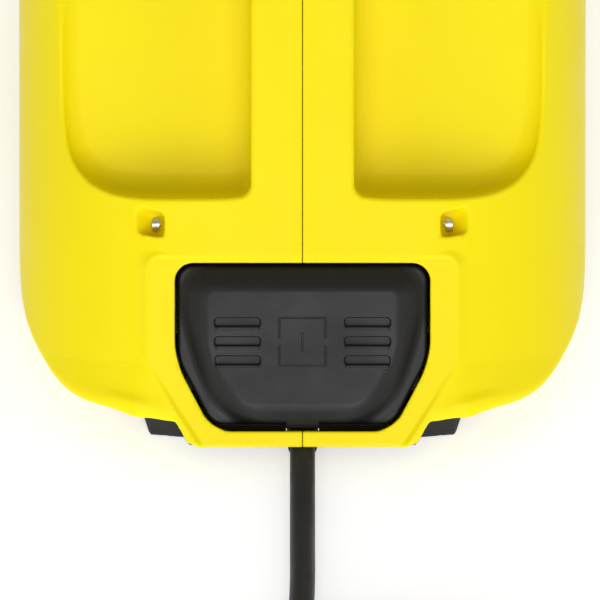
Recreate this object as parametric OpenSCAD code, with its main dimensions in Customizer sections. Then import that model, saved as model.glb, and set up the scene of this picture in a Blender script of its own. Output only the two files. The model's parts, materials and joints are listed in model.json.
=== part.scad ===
// Foot-switched domestic water pump: two housing half shells, a motor with its fan, a four-stage
// pump head with filter, check valve and swivelling outlet, and a mains lead laid out in a coil.
// +Z is up, +Y points to the pump head, and the floor is at z = 0.

/* [Housing] */
// Width across the side walls
body_w = 215; // [212:1:218]
// Height of the top of the side rims
rim_top_z = 188; // [186:1:192]
// Height of the top of the handle
handle_top_z = 250; // [246:1:254]
// Width of the handle spine
spine_w = 39; // [36:1:42]
// Wall thickness of the shells
wall = 3; // [2.5:0.5:3]
// Angle between the sloping rear face and the floor
slope = 49; // [48:0.5:50]

/* [Foot pedal] */
// Width of the pedal
pedal_w = 94.4; // [90:0.2:96]
// Gap between the pedal and its opening
pedal_gap = 1; // [0.8:0.1:1.2]
// Radius of the hinge pin
hinge_pin_r = 2; // [1.5:0.5:2.5]

/* [Motor] */
// Height of the shaft above the floor
shaft_z = 94; // [93:0.5:95]
// Radius of the shaft
shaft_r = 7; // [6:0.5:7]
// Outer radius of the motor frame
motor_r = 53; // [52:0.5:53]
// Number of stator slots
slots = 24; // [12:6:24]
// Number of fan blades
fan_blades = 8; // [6:1:10]

/* [Pump] */
// Outer radius of the pump casing
casing_r = 70; // [69:0.5:71]
// Number of stages
stages = 4; // [3:1:4]
// Radius of the pipe threads, measured over the crests
thread_r = 16.6; // [16.6:0.1:16.7]

/* [Mains lead] */
// Diameter of the lead
cord_d = 9.5; // [9:0.1:9.5]

/* [Hidden] */
$fn = 48;

yellow = "gold";
black = [0.13, 0.13, 0.14];
steel = "silver";

// Moves the design so that the origin lies under the middle of the pump, without its lead
centring_y = -14.85;

// Housing
rear_y = -197;
front_y = 75;
skirt_z = 14;
lip_z = 16;
flat_half_w = 40;
corner_depth = 80;
corner_half_w = body_w / 2 - 4;
rim_round = 16;
scoop_in = spine_w / 2;
scoop_out = body_w / 2 - 16;
scoop_s = 94;
scoop_depth = 26;
scoop_floor_z = 153;
scoop_front_y = 52;
spine_arc_share = 0.658; // of the handle's height over the lip
spine_arc_r = (handle_top_z - lip_z) * spine_arc_share;
spine_arc_y = 76;
bar_h = 28;
bezel_half_w = 59;
bezel_foot_half_w = 38;
well_s = 82.6;
well_n = -13;
spine_screws = [[-92, 112], [-18, 205], [62, 222]];
base_z = [12, 17];
base_screw_x = 97;
base_screw_y = [-50, 45];

// Pedal, in the frame of the sloping face: x across, s up the slope, n out of it
pedal_bottom_s = 5.7;
pedal_top_s = 67.5;
pedal_half_w = pedal_w / 2;
pedal_foot_half_w = 33.5;
pedal_waist_s = 32;
pedal_rim_n = -4.5;
pedal_back_n = -12;
pad_n = 2;
hinge_s = 14;
hinge_n = -12;
plunger_s = 47;
carrier_n = -22;

// Motor and pump, along +Y
stack_y = [-8, 38];
rear_shield_y = [-34, -26];
front_shield_y = [52, 60];
bearing_r = 16;
stator_bore_r = 29;
cover_y = [75, 80];
casing_y = [80, 142];
stage_pitch = 13;
impeller_r = 54;
pot_y = 174;
pot_r = 32;
pot_z = [58, 190];
suction_z = 150;
outlet_y = 112;
outlet_z = 208;
elbow_z = 240;
drain_z = 38;

// Mains lead
cord_r = cord_d / 2;
exit_y = -192;
exit_z = 8.5;
gland_y = [-152, -138];
coil_centre = [49, -353];
coil_mid_r = 52.25;
coil_half = 2 * cord_r + 0.05;
coil_top_z = 4 * cord_r + 0.2;
plug_heading = 245;
plug_tilt = 17.5;
lead_route = [
    [0, -192, 8.5], [0, -200, 8.3], [0, -208, 7.4], [0, -216, 6.2], [0, -226, 5.2], [0, -240, 4.8],
    [0, -256, 4.8], [-0.5, -272, 4.8], [-2, -288, 4.8], [-4, -304, 4.8], [-6.2, -322, 4.8],
    [-7.6, -338, 4.8], [-8, -353, 4.8]
];
tail_route = [
    [39, -297, 14.3], [26, -299, 14.5], [12, -301.5, 14.6], [0, -303.6, 14.6], [-10, -305.5, 14.2],
    [-19, -308.2, 12], [-27, -312.2, 9], [-34, -317.5, 6.8], [-39.5, -323.5, 5.8], [-45, -331.5, 6.3]
];

// ---- outlines and transforms ----

module placed() translate([0, centring_y, 0]) children();

function unit(v) = v / norm(v);

// A closed outline whose corners are rounded: each entry is [x, y, corner radius]
function rounded(corners) = [
    for (i = [0:len(corners) - 1])
        let (
            n = len(corners), c = corners[i], here = [c.x, c.y],
            back = corners[(i + n - 1) % n], ahead = corners[(i + 1) % n],
            u = unit([back.x, back.y] - here), v = unit([ahead.x, ahead.y] - here),
            half = acos(u * v) / 2,
            middle = here + unit(u + v) * c[2] / sin(half),
            from = here + u * c[2] / tan(half), to = here + v * c[2] / tan(half),
            a = atan2(from.y - middle.y, from.x - middle.x),
            b = atan2(to.y - middle.y, to.x - middle.x),
            sweep = (b - a + 540) % 360 - 180
        )
        for (k = [0:4]) middle + c[2] * [cos(a + sweep * k / 4), sin(a + sweep * k / 4)]
];

module on_slope() translate([0, rear_y, lip_z]) rotate([slope, 0, 0]) children();

// A rod along Y about the shaft
module rod(y, r, z = shaft_z, x = 0)
    translate([x, y[0], z]) rotate([-90, 0, 0]) cylinder(h = y[1] - y[0], r = r);

module ring(y, outer, inner, z = shaft_z) difference() {
    rod(y, outer, z);
    rod([y[0] - 1, y[1] + 1], inner, z);
}

module upright_ring(z, outer, inner) translate([0, 0, z[0]]) difference() {
    cylinder(h = z[1] - z[0], r = outer);
    translate([0, 0, -1]) cylinder(h = z[1] - z[0] + 2, r = inner);
}

module across(x, r) translate([x[0], 0, 0]) rotate([0, 90, 0]) cylinder(h = x[1] - x[0], r = r);

module o_ring(r, wire) rotate_extrude() translate([r, 0]) circle(r = wire, $fn = 24);

// A round tube along a path, as one closed surface
module sweep_tube(path, r, sides, up = [0, 0, 1]) {
    last = len(path) - 1;
    rings = [
        for (i = [0:last])
            let (
                t = unit(path[min(i + 1, last)] - path[max(i - 1, 0)]),
                e = unit(cross(t, up)), f = cross(e, t)
            )
            for (k = [0:sides - 1])
                path[i] + r * (e * cos(360 * k / sides) + f * sin(360 * k / sides))
    ];
    walls = [
        for (i = [0:last - 1], k = [0:sides - 1])
            let (a = i * sides + k, b = i * sides + (k + 1) % sides)
            each [[a, a + sides, b], [b, a + sides, b + sides]]
    ];
    polyhedron(rings, concat(
        walls,
        [[for (k = [0:sides - 1]) k]],
        [[for (k = [0:sides - 1]) last * sides + sides - 1 - k]]
    ));
}

// Points on a smooth curve through hand-placed points
function curve_point(p, i, t) =
    let (a = p[max(i - 1, 0)], b = p[i], c = p[i + 1], d = p[min(i + 2, len(p) - 1)])
    0.5 * (2 * b + (c - a) * t + (2 * a - 5 * b + 4 * c - d) * t * t + (3 * b - a - 3 * c + d) * t * t * t);
function smooth_path(p) = [
    for (i = [0:len(p) - 2], k = [0:1]) curve_point(p, i, k / 2),
    p[len(p) - 1]
];

// ---- housing ----

// Half width of the housing at a distance d ahead of its rear end
function flare(d) = let (t = min(max((d - 50) / 80, 0), 1)) 4 * t * t * (3 - 2 * t);
function side_points(inset, reach) = [
    for (i = [0:12])
        let (a = 90 * i / 12, d = corner_depth * (1 - cos(a)))
        [flat_half_w + (corner_half_w - flat_half_w - inset) * sin(a) + flare(d), d + inset / sin(slope)],
    for (d = [100, 115]) [corner_half_w - inset + flare(d), d],
    [corner_half_w - inset + 4, reach]
];

// The housing's outline at one height, and the solid between such outlines
function outline(z, inset, ahead) =
    let (y = rear_y + max(z - lip_z, 0) / tan(slope), half = side_points(inset, front_y + ahead - y))
    concat(
        [for (i = [len(half) - 1:-1:0]) [-half[i].x, y + half[i].y, z]],
        [for (p = half) [p.x, y + p.y, z]]
    );

module block(inset, ahead) {
    low = skirt_z - (inset > 0 ? 1 : 0);
    top = rim_top_z - inset;
    levels = [[low, 0], [lip_z + 2, 0], [top - rim_round, 0],
        for (a = [30, 60, 80]) [top - rim_round * (1 - sin(a)), rim_round * (1 - cos(a))]];
    rings = [for (l = levels) outline(l[0], inset + l[1], ahead)];
    n = len(rings[0]);
    walls = [
        for (j = [0:len(rings) - 2], k = [0:n - 1])
            let (a = j * n + k, b = j * n + (k + 1) % n)
            each [[a, a + n, b], [b, a + n, b + n]]
    ];
    polyhedron([for (r = rings) each r], concat(
        walls,
        [[for (k = [0:n - 1]) k]],
        [[for (k = [0:n - 1]) (len(rings) - 1) * n + n - 1 - k]]
    ));
}

// Outline of the handle spine in the YZ plane, a given depth under its outer face
function arc_at(r, from, to, steps) = [
    for (k = [0:steps])
        let (a = from + (to - from) * k / steps)
        [spine_arc_y - r * sin(a), handle_top_z - spine_arc_r + r * cos(a)]
];
module spine(inset) {
    r = spine_arc_r - inset;
    translate([-spine_w / 2 + inset, 0, 0]) rotate([90, 0, 90]) linear_extrude(spine_w - 2 * inset)
        intersection() {
            polygon(concat(
                [[rear_y + (60 - lip_z) / tan(slope) + inset / sin(slope), 60]],
                arc_at(r, slope, 6, 12),
                [[front_y + (inset > 0 ? 1 : 0), handle_top_z - inset - 1.5], [front_y + (inset > 0 ? 1 : 0), 60]]
            ));
            translate([rear_y, 60]) square([front_y - rear_y + (inset > 0 ? 1 : 0), handle_top_z]);
        }
}

// The finger opening under the handle bar
module finger_opening(grow) {
    r = spine_arc_r - bar_h + grow;
    translate([-spine_w, 0, 0]) rotate([90, 0, 90]) linear_extrude(2 * spine_w)
        polygon(concat(
            arc_at(r, 47, 16, 8),
            [[46 + grow, scoop_floor_z + 5 - grow], [-30 - grow, scoop_floor_z + 5 - grow]]
        ));
}

// One hand scoop beside the spine
module scoop(grow) {
    low = scoop_s - grow;
    in = scoop_in - grow;
    out = scoop_out + grow;
    on_slope() translate([0, 0, -scoop_depth - grow]) linear_extrude(140)
        polygon(rounded([[in, low, 4.5], [out, low, 36], [out, 214, 4], [in, 214, 4]]));
    translate([0, 0, scoop_floor_z - grow]) linear_extrude(120)
        polygon(rounded([
            [in, -76, 2], [out, -76, 2], [out, scoop_front_y + grow, 16], [in, scoop_front_y + grow, 6]
        ]));
}

module bezel(inset) intersection() {
    on_slope() translate([0, 0, -18]) linear_extrude(18 - inset)
        polygon(rounded([
            [-bezel_foot_half_w, -2 + inset, 4], [bezel_foot_half_w, -2 + inset, 4],
            [bezel_half_w - inset, 30, 8], [bezel_half_w - inset, 71 - inset, 4],
            [-bezel_half_w + inset, 71 - inset, 4], [-bezel_half_w + inset, 30, 8]
        ]));
    translate([-body_w, rear_y - 10, skirt_z]) cube([2 * body_w, 200, 200]);
}

module housing_form(inset, ahead) difference() {
    union() {
        block(inset, ahead);
        spine(inset);
        bezel(inset);
    }
    for (side = [0, 1]) mirror([side, 0, 0]) scoop(inset);
    finger_opening(inset);
}

function pedal_outline(grow) = rounded([
    [-pedal_foot_half_w - grow / 2, pedal_bottom_s - grow, 8],
     [pedal_foot_half_w + grow / 2, pedal_bottom_s - grow, 8],
    [pedal_half_w + grow, pedal_waist_s, 6], [pedal_half_w + grow, pedal_top_s + grow, 7.5],
    [-pedal_half_w - grow, pedal_top_s + grow, 7.5], [-pedal_half_w - grow, pedal_waist_s, 6]
]);

module screw_well() on_slope() translate([0, well_s, well_n]) across([54, 66], 5);

// Each half is kept as one closed surface
module half_shell(side) color(yellow) resize([0, 0, 0]) {
    difference() {
        housing_form(0, 0);
        housing_form(wall, 1);
        on_slope() translate([0, 0, -40]) linear_extrude(60) polygon(pedal_outline(pedal_gap));
        mirror([side > 0 ? 0 : 1, 0, 0]) screw_well();
        translate([side > 0 ? -body_w : 0, rear_y - 20, 0]) cube([body_w, 400, 400]);
        for (p = spine_screws) translate([0, p[0], p[1]]) across([8, body_w], 4);
        translate([-30, rear_y + 4, skirt_z - 1]) cube([60, 40, 3.2]);
    }
    difference() {
        for (p = spine_screws) translate([0, p[0], p[1]])
            across(side > 0 ? [0.05, scoop_in - wall + 0.1] : [-scoop_in + wall - 0.1, -0.05], 6);
        for (p = spine_screws) translate([0, p[0], p[1]]) {
            across([8, body_w], 4);
            across([-14, 10], 1.9);
        }
    }
    intersection() {
        difference() {
            union() {
                base_boss(base_z[1] + 0.2, 34, 6);
                for (y = base_screw_y)
                    translate([side * (base_screw_x + 5) - 5, y - 1.5, base_z[1] + 0.2]) cube([10, 3, 16]);
            }
            base_boss(0, 40, 1.5);
        }
        housing_form(0.2, 0);
        translate([side > 0 ? 0 : -body_w, rear_y, 0]) cube([body_w, 400, 100]);
    }
    // The floor and wall of the screw well
    intersection() {
        housing_form(0.2, 0);
        mirror([side > 0 ? 0 : 1, 0, 0]) on_slope() translate([0, well_s, well_n]) difference() {
            across([51, 66], 7);
            across([54, 70], 5);
            across([50, 60], 2.1);
        }
    }
}
module left_housing_shell() half_shell(-1);
module right_housing_shell() half_shell(1);

module base_boss(low, top, r)
    for (side = [-1, 1], y = base_screw_y) translate([side * base_screw_x, y, low]) cylinder(h = top - low, r = r);

module base_plate() color(black) difference() {
    translate([0, 0, base_z[0]]) linear_extrude(base_z[1] - base_z[0])
        polygon([for (p = outline(base_z[1], wall + 0.4, -0.5)) [p.x, p.y]]);
    translate([-46, rear_y, 0]) cube([92, 33, 40]);
    translate([-14, rear_y, 0]) cube([28, 61, 40]);
    base_boss(0, 40, 1.9);
    base_boss(0, base_z[0] + 2.5, 4.2);
}

module rubber_feet() color(black) {
    for (side = [0, 1]) mirror([side, 0, 0]) {
        linear_extrude(base_z[0])
            polygon(rounded([[30, -178, 3], [43, -177, 6], [58, -167, 4], [58, -148, 4], [30, -148, 3]]));
        translate([0, outlet_y, 0]) linear_extrude(8)
            polygon(rounded([[28, -16, 4], [58, -16, 4], [58, 16, 4], [28, 16, 4]]));
    }
}

module cross_screw(x, head) {
    across(x, 1.85);
    difference() {
        across([x[1], x[1] + 2.6], head);
        across([x[1] + 1, x[1] + 3], 1.3, $fn = 6);
    }
}
module shell_screws() color(steel) {
    for (side = [0, 1]) mirror([side, 0, 0]) on_slope() translate([0, well_s, well_n]) cross_screw([38, 54.1], 4);
    for (p = spine_screws) translate([0, p[0], p[1]]) cross_screw([-13, 8.1], 3.6);
}
module base_screws() color(steel) {
    base_boss(base_z[0] + 0.2, 32, 1.45);
    base_boss(base_z[0] + 0.2, base_z[0] + 2.4, 4);
}

// ---- foot pedal and switch ----

function pad_outline(grow) = rounded([
    [-22.5 - grow, 13.6 - grow, 5], [22.5 + grow, 13.6 - grow, 5], [36.8 + grow, 36, 5],
    [36.8 + grow, 59.6 + grow, 5], [-36.8 - grow, 59.6 + grow, 5], [-36.8 - grow, 36, 5]
]);
module slab(n, outline) translate([0, 0, n[0]]) linear_extrude(n[1] - n[0]) polygon(outline);
module grip_groove(x, s) slab([pad_n - 1.4, pad_n + 1], rounded([
    [x - 8.5, s - 1.7, 1.6], [x + 8.5, s - 1.7, 1.6], [x + 8.5, s + 1.7, 1.6], [x - 8.5, s + 1.7, 1.6]
]));
module on_mark() {
    frame = function (grow) rounded([
        [-8.7 - grow, 30 - grow, 1.5], [8.7 + grow, 30 - grow, 1.5], [8.7 + grow, 48 + grow, 1.5],
        [-8.7 - grow, 48 + grow, 1.5]
    ]);
    difference() {
        slab([pad_n - 0.6, pad_n + 1], frame(0.35));
        slab([pad_n - 2, pad_n + 2], frame(-0.35));
        translate([-12, 37.5, pad_n - 2]) cube([24, 3, 4]);
    }
    translate([-0.5, 35.4, pad_n - 0.6]) cube([1, 7.2, 2]);
}

module foot_pedal() color(black) difference() {
    on_slope() pedal_body();
    // Room for the lead and its strain relief
    translate([-12, rear_y, 0]) cube([24, 40, 15.6]);
}
module pedal_body() difference() {
    union() {
        slab([pedal_back_n, pedal_rim_n], pedal_outline(0));
        hull() {
            slab([pedal_rim_n - 0.2, pedal_rim_n], pedal_outline(-0.2));
            slab([pad_n - 0.2, pad_n], pad_outline(0));
        }
    }
    difference() {
        union() {
            slab([pedal_back_n - 1, pedal_rim_n - 3], pedal_outline(-3));
            slab([pedal_back_n - 1, pad_n - 4.5], pad_outline(-1));
        }
        for (side = [-1, 1]) translate([side * 24, hinge_s, hinge_n]) {
            across([-3, 3], 4);
            translate([-3, -4, 0]) cube([6, 8, 12]);
        }
        translate([0, plunger_s, pedal_back_n - 0.5]) cylinder(h = 12, r = 6);
    }
    translate([0, hinge_s, hinge_n]) across([-30, 30], hinge_pin_r + 0.05);
    for (x = [-24.5, 24.5], k = [-1, 0, 1]) grip_groove(x, 39 + 7.2 * k);
    on_mark();
}

module pedal_hinge_pin() color(steel) on_slope() translate([0, hinge_s, hinge_n]) across([-32.5, 32.5], hinge_pin_r);

module pedal_spring() color(steel) on_slope() translate([0, hinge_s, hinge_n]) {
    turns = 5.5;
    coil_r = hinge_pin_r + 1.2;
    end_x = -6 + 2.2 * turns;
    sweep_tube(concat(
        [[-6, 11, -6.4], [-6, 6, -5], [-6, 2, -coil_r - 0.1]],
        [for (k = [0:12 * turns]) [-6 + 2.2 * k / 12, -coil_r * sin(30 * k), -coil_r * cos(30 * k)]],
        [[end_x, 3, coil_r + 0.3], [end_x, 7, 5], [end_x, 11, 7.2]]
    ), 0.6, 6, [1, 0, 0]);
}

module switch_carrier() color("dimgray") on_slope() difference() {
    union() {
        slab([carrier_n, carrier_n + 3], rounded([[-44, 19, 3], [44, 19, 3], [44, 75, 3], [-44, 75, 3]]));
        for (side = [0, 1]) mirror([side, 0, 0]) {
            translate([29.4, hinge_s, hinge_n]) across([-1.8, 1.8], 4);
            translate([27.6, hinge_s - 3, carrier_n + 5]) cube([3.6, 7, 9]);
            translate([27.6, hinge_s - 1, carrier_n + 1]) cube([3.6, 9, 6]);
            translate([0, well_s, well_n]) across([36, 50.5], 5);
            translate([37, 70, carrier_n]) cube([6, 11, 9]);
        }
    }
    translate([0, hinge_s, hinge_n]) across([-40, 40], hinge_pin_r + 0.01);
    translate([0, plunger_s, carrier_n - 1]) cylinder(h = 6, r = 5);
    translate([0, well_s, well_n]) across([-60, 60], 1.9);
}

module push_switch() color("dimgray") on_slope() difference() {
    union() {
        translate([-13, plunger_s - 10, carrier_n - 14]) cube([26, 20, 14]);
        for (x = [-8, 0, 8]) translate([x - 2, plunger_s + 3, carrier_n - 21]) cube([4, 0.8, 8]);
    }
    translate([0, plunger_s, carrier_n - 11]) cylinder(h = 20, r = 4.06);
}
module switch_plunger() color("white") on_slope() translate([0, plunger_s, 0]) {
    translate([0, 0, carrier_n - 6]) cylinder(h = pedal_back_n - 0.8 - carrier_n + 6, r = 4);
}

module run_capacitor() color("gainsboro") translate([0, -108, base_z[1] + 15.3]) {
    across([-32, 30], 15);
    across([30, 32], 13);
    for (z = [-5, 5]) translate([32, -0.4, z - 2]) cube([8, 0.8, 4]);
}
module terminal_block() color("dimgray") difference() {
    translate([46, -128, base_z[1]]) cube([16, 36, 15]);
    for (k = [0:3]) translate([54, -123.5 + 9 * k, base_z[1] + 9]) cylinder(h = 10, r = 2.6);
}

// ---- mains lead ----

module cord_gland() color(black) difference() {
    translate([-13, gland_y[0], 0.6]) cube([26, gland_y[1] - gland_y[0], 18]);
    for (x = [-9, 9]) translate([x, (gland_y[0] + gland_y[1]) / 2, 12]) cylinder(h = 10, r = 1.4);
}
module strain_relief() color(black) translate([0, exit_y, exit_z]) rotate([-90, 0, 0]) rotate_extrude()
    polygon([[0, 0], [5.3, 0], [5.6, 1], [7, 30], [7, 36], [7.9, 37],
             [7.9, gland_y[0] - exit_y], [0, gland_y[0] - exit_y]]);
module power_cord() color(black) sweep_tube(smooth_path(lead_route), cord_r, 10);
module cord_tail() color(black) sweep_tube(smooth_path(tail_route), cord_r, 10);
module cord_coil() color(black) translate([coil_centre.x, coil_centre.y, 0]) rotate_extrude()
    polygon(rounded([
        [coil_mid_r - coil_half, 0, 3], [coil_mid_r + coil_half, 0, 3],
        [coil_mid_r + coil_half, coil_top_z, 3], [coil_mid_r - coil_half, coil_top_z, 3]
    ]));
module cord_tie() color("dimgray") translate([coil_centre.x, coil_centre.y, 0])
  rotate([0, 0, -35]) difference() {
    translate([coil_mid_r - coil_half - 1.2, -4, 0]) cube([2 * coil_half + 2.4, 8, coil_top_z + 1.4]);
    translate([coil_mid_r - coil_half - 0.1, -5, 1.2]) cube([2 * coil_half + 0.2, 10, coil_top_z - 1.1]);
}
module at_plug() translate(tail_route[len(tail_route) - 1])
  rotate([0, 0, plug_heading]) rotate([0, -plug_tilt, 0])
    children();
module mains_plug() color(black) at_plug() difference() {
    rotate([0, 90, 0]) rotate_extrude() polygon([
        [0, 0], [6, 0], [8.5, 22], [15, 28], [18.3, 38], [18.5, 56], [17.6, 57], [0, 57]
    ]);
    for (side = [-1, 1]) translate([45, side * 20.5 - 4, -3]) cube([14, 8, 6]);
}
module plug_pins() color(steel) at_plug() for (side = [-1, 1]) translate([0, side * 9.5, 0]) {
    across([57, 75], 2.4);
    translate([75, 0, 0]) sphere(r = 2.4);
}

// ---- motor ----

module motor_frame() color("silver") ring([rear_shield_y[1], front_shield_y[0]], motor_r, motor_r - 2.9);
module stator_core() color("gray") difference() {
    rod(stack_y, motor_r - 3);
    rod([stack_y[0] - 1, stack_y[1] + 1], stator_bore_r);
    for (k = [0:slots - 1]) translate([0, 0, shaft_z]) rotate([0, 360 * k / slots, 0])
        translate([stator_bore_r - 1, stack_y[0] - 1, -1.6]) cube([14, stack_y[1] - stack_y[0] + 2, 3.2]);
    tie_rods([stack_y[0] - 1, stack_y[1] + 1], 2.1);
}
module stator_windings() color("peru") {
    for (k = [0:slots - 1]) translate([0, 0, shaft_z]) rotate([0, 360 * k / slots, 0])
        translate([stator_bore_r + 1.5, stack_y[0] - 0.5, -1.4]) cube([11, stack_y[1] - stack_y[0] + 1, 2.8]);
    for (y = [[stack_y[0] - 12, stack_y[0] - 0.2], [stack_y[1] + 0.2, stack_y[1] + 12]]) ring(y, 42, stator_bore_r + 1);
}
module rotor_core() color("gray") {
    ring(stack_y, stator_bore_r - 0.6, shaft_r + 0.01);
    for (y = [[stack_y[0] - 5, stack_y[0]], [stack_y[1], stack_y[1] + 5]]) ring(y, stator_bore_r - 3, 16);
}
module motor_shaft() color("lightgray") {
    rod([-50, front_shield_y[1] + 2], shaft_r);
    rod([front_shield_y[1] + 2, casing_y[1] - 5], shaft_r);
}
module ball_bearing(y) color("silver") difference() {
    ring(y, bearing_r, shaft_r + 0.05);
    for (face = [y[0] - 1, y[1] - 1]) ring([face, face + 2], 13.5, 10.5);
}
module rear_bearing() ball_bearing(rear_shield_y);
module front_bearing() ball_bearing(front_shield_y);
module cooling_fan() color("dimgray") {
    ring([-48, -36], 12, shaft_r + 0.01);
    ring([-38, -36.5], 38, 11);
    for (k = [0:fan_blades - 1]) translate([0, 0, shaft_z]) rotate([0, 360 * k / fan_blades, 0])
        translate([11, -48, -0.8]) cube([26, 10.5, 1.6]);
}
module fan_cowl() color("dimgray") difference() {
    rod([-54, -27], 43);
    rod([-52.4, -26], 41.4);
    for (r = [14, 26], k = [0:11]) translate([0, 0, shaft_z]) rotate([0, 30 * k, 0]) translate([r, 0, 0])
        rod([-55, -51], r > 20 ? 4 : 2.4, 0);
}
module end_shield(y) difference() {
    rod(y, motor_r);
    rod([y[0] - 1, y[1] + 1], bearing_r + 0.01);
    tie_rods([y[0] - 1, y[1] + 1], 2.1);
    for (k = [0:5]) translate([0, 0, shaft_z]) rotate([0, 60 * k + 30, 0]) translate([28, 0, 0])
        rod([y[0] - 1, y[1] + 1], 6, 0);
}
module rear_end_shield() color("lightgray") difference() {
    end_shield(rear_shield_y);
    ring([rear_shield_y[0] - 1, -27], 43.05, 41.3);
}
module front_end_shield() color("lightgray") end_shield(front_shield_y);
module tie_rods(y, r) for (k = [0:3])
  translate([0, 0, shaft_z]) rotate([0, 90 * k + 45, 0]) translate([46.5, 0, 0])
    rod(y, r, 0);
module tie_bolts() color("silver") {
    tie_rods([rear_shield_y[0], 72], 2);
    tie_rods([rear_shield_y[0] - 3, rear_shield_y[0]], 3.4);
}
module motor_cradle() color(black) difference() {
    translate([-40, stack_y[0] + 2, base_z[1]]) cube([80, stack_y[1] - stack_y[0] - 4, 42]);
    rod([-60, 80], motor_r + 0.05);
}

// ---- pump head ----

module bolt_circle(y, r, at = 75) for (k = [0:5]) translate([0, 0, shaft_z]) rotate([0, 60 * k, 0])
    translate([at, 0, 0]) rod(y, r, 0);
module front_cover() color(black) difference() {
    union() {
        translate([0, cover_y[1], 0]) rotate([90, 0, 0]) linear_extrude(cover_y[1] - cover_y[0])
            polygon(rounded([
                [-spine_w / 2, handle_top_z - 2, 2], [-spine_w / 2, rim_top_z, 3],
                [-body_w / 2, rim_top_z, rim_round], [-body_w / 2, skirt_z, 3],
                [body_w / 2, skirt_z, 3], [body_w / 2, rim_top_z, rim_round],
                [spine_w / 2, rim_top_z, 3], [spine_w / 2, handle_top_z - 2, 2]
            ]));
        bolt_circle([cover_y[0] - 9, cover_y[0] + 1], 6);
    }
    rod([cover_y[0] - 1, cover_y[1] + 1], 50);
    bolt_circle([cover_y[0] - 8, cover_y[1] + 1], 2.5);
}
module seal_plate() color("lightgray") difference() {
    union() {
        rod([cover_y[0] - 9, cover_y[0]], 64);
        rod([cover_y[0] - 1, cover_y[1] - 0.2], 49.9);
    }
    rod([cover_y[0] - 10, cover_y[1] + 1], 13.2);
    tie_rods([cover_y[0] - 10, cover_y[0] - 2.5], 2.1);
}
module seal_seat() color("gray") ring([cover_y[0] - 5, cover_y[0]], 13.1, shaft_r + 1);
module rotary_seal() color(black) {
    ring([cover_y[0] + 0.2, cover_y[0] + 6], 12.2, shaft_r + 0.01);
    ring([cover_y[0] + 6, cover_y[0] + 9], 9.5, shaft_r + 0.01);
}
module pump_casing() color(black) difference() {
    union() {
        rod(casing_y, casing_r);
        rod([casing_y[0], casing_y[0] + 6], 80);
        translate([0, outlet_y, shaft_z + casing_r - 12]) cylinder(h = outlet_z - shaft_z - casing_r + 12, r = 20);
        rod([casing_y[1] - 1, casing_y[1] + 4], 12, drain_z);
    }
    rod([casing_y[0] - 1, casing_y[1] - 4], casing_r - 6);
    rod([casing_y[0], casing_y[1] + 1], 14);
    rod([casing_y[0], casing_y[1] + 5], 7.1, drain_z);
    translate([0, outlet_y, shaft_z + 50]) cylinder(h = 100, r = 10);
    translate([0, outlet_y, 172]) cylinder(h = 100, r = 14);
    bolt_circle([casing_y[0] - 1, casing_y[0] + 7], 2.5);
    ring([casing_y[0] - 1, casing_y[0] + 2.6], 68.5, 65.5);
}
module casing_o_ring() color(black) translate([0, casing_y[0] + 1.3, shaft_z]) rotate([90, 0, 0]) o_ring(67, 1.25);
module casing_screws() color(steel) difference() {
    union() {
        bolt_circle([cover_y[0] - 7.5, casing_y[0] + 6], 2.4);
        bolt_circle([casing_y[0] + 6, casing_y[0] + 10], 4.4);
    }
    for (k = [0:5]) translate([0, 0, shaft_z]) rotate([0, 60 * k, 0]) translate([75, casing_y[0] + 8, 0])
        rotate([-90, 0, 0]) cylinder(h = 3, r = 2.3, $fn = 6);
}
function stage_y(k) = casing_y[0] + 7 + stage_pitch * k;
module impellers() color("wheat") for (k = [0:stages - 1]) translate([0, stage_y(k), 0]) {
    ring([0, 1.5], impeller_r, shaft_r + 0.01);
    ring([0, 8], 10, shaft_r + 0.01);
    ring([6.5, 8], impeller_r, 17);
    for (b = [0:5]) translate([0, 0, shaft_z]) rotate([0, 60 * b, 0]) translate([18, 1.4, 0]) rotate([0, 28, 0])
        translate([0, 0, -0.9]) cube([34, 5.2, 1.8]);
}
module diffusers() color("wheat") for (k = [0:stages - 1]) translate([0, stage_y(k), 0]) {
    ring([-1.5, stage_pitch - 1.6], 63.8, 60);
    ring([9.4, stage_pitch - 1.6], 61, 11);
}
module pump_foot() color(black) difference() {
    translate([0, casing_y[0] + 8, 8]) rotate([-90, 0, 0]) linear_extrude(46)
        polygon(rounded([[-64, 0, 4], [-64, -38, 6], [64, -38, 6], [64, 0, 4]]));
    rod([0, 200], casing_r + 0.05);
    bolt_circle([casing_y[0] + 5, casing_y[0] + 12], 5.2);
}

module filter_housing() color(black) difference() {
    union() {
        translate([0, pot_y, pot_z[0]]) cylinder(h = pot_z[1] - pot_z[0], r = pot_r);
        translate([-20, casing_y[1], shaft_z - 20]) cube([40, 18, 40]);
        rod([pot_y, pot_y + 34], 20, suction_z);
        rod([pot_y + 34, pot_y + 54], thread_r, suction_z);
    }
    translate([0, pot_y, pot_z[0] + 4]) cylinder(h = 200, r = pot_r - 4);
    rod([casing_y[1] - 1, pot_y], 14);
    rod([pot_y, pot_y + 60], 12, suction_z);
}
module prefilter_strainer() color("whitesmoke") translate([0, pot_y, pot_z[0] + 5]) difference() {
    upright_ring([0, 112], 22, 20.4);
    for (k = [0:11], z = [8, 42, 76]) rotate([0, 0, 30 * k]) translate([15, -3.4, z]) cube([10, 6.8, 28]);
}
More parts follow.
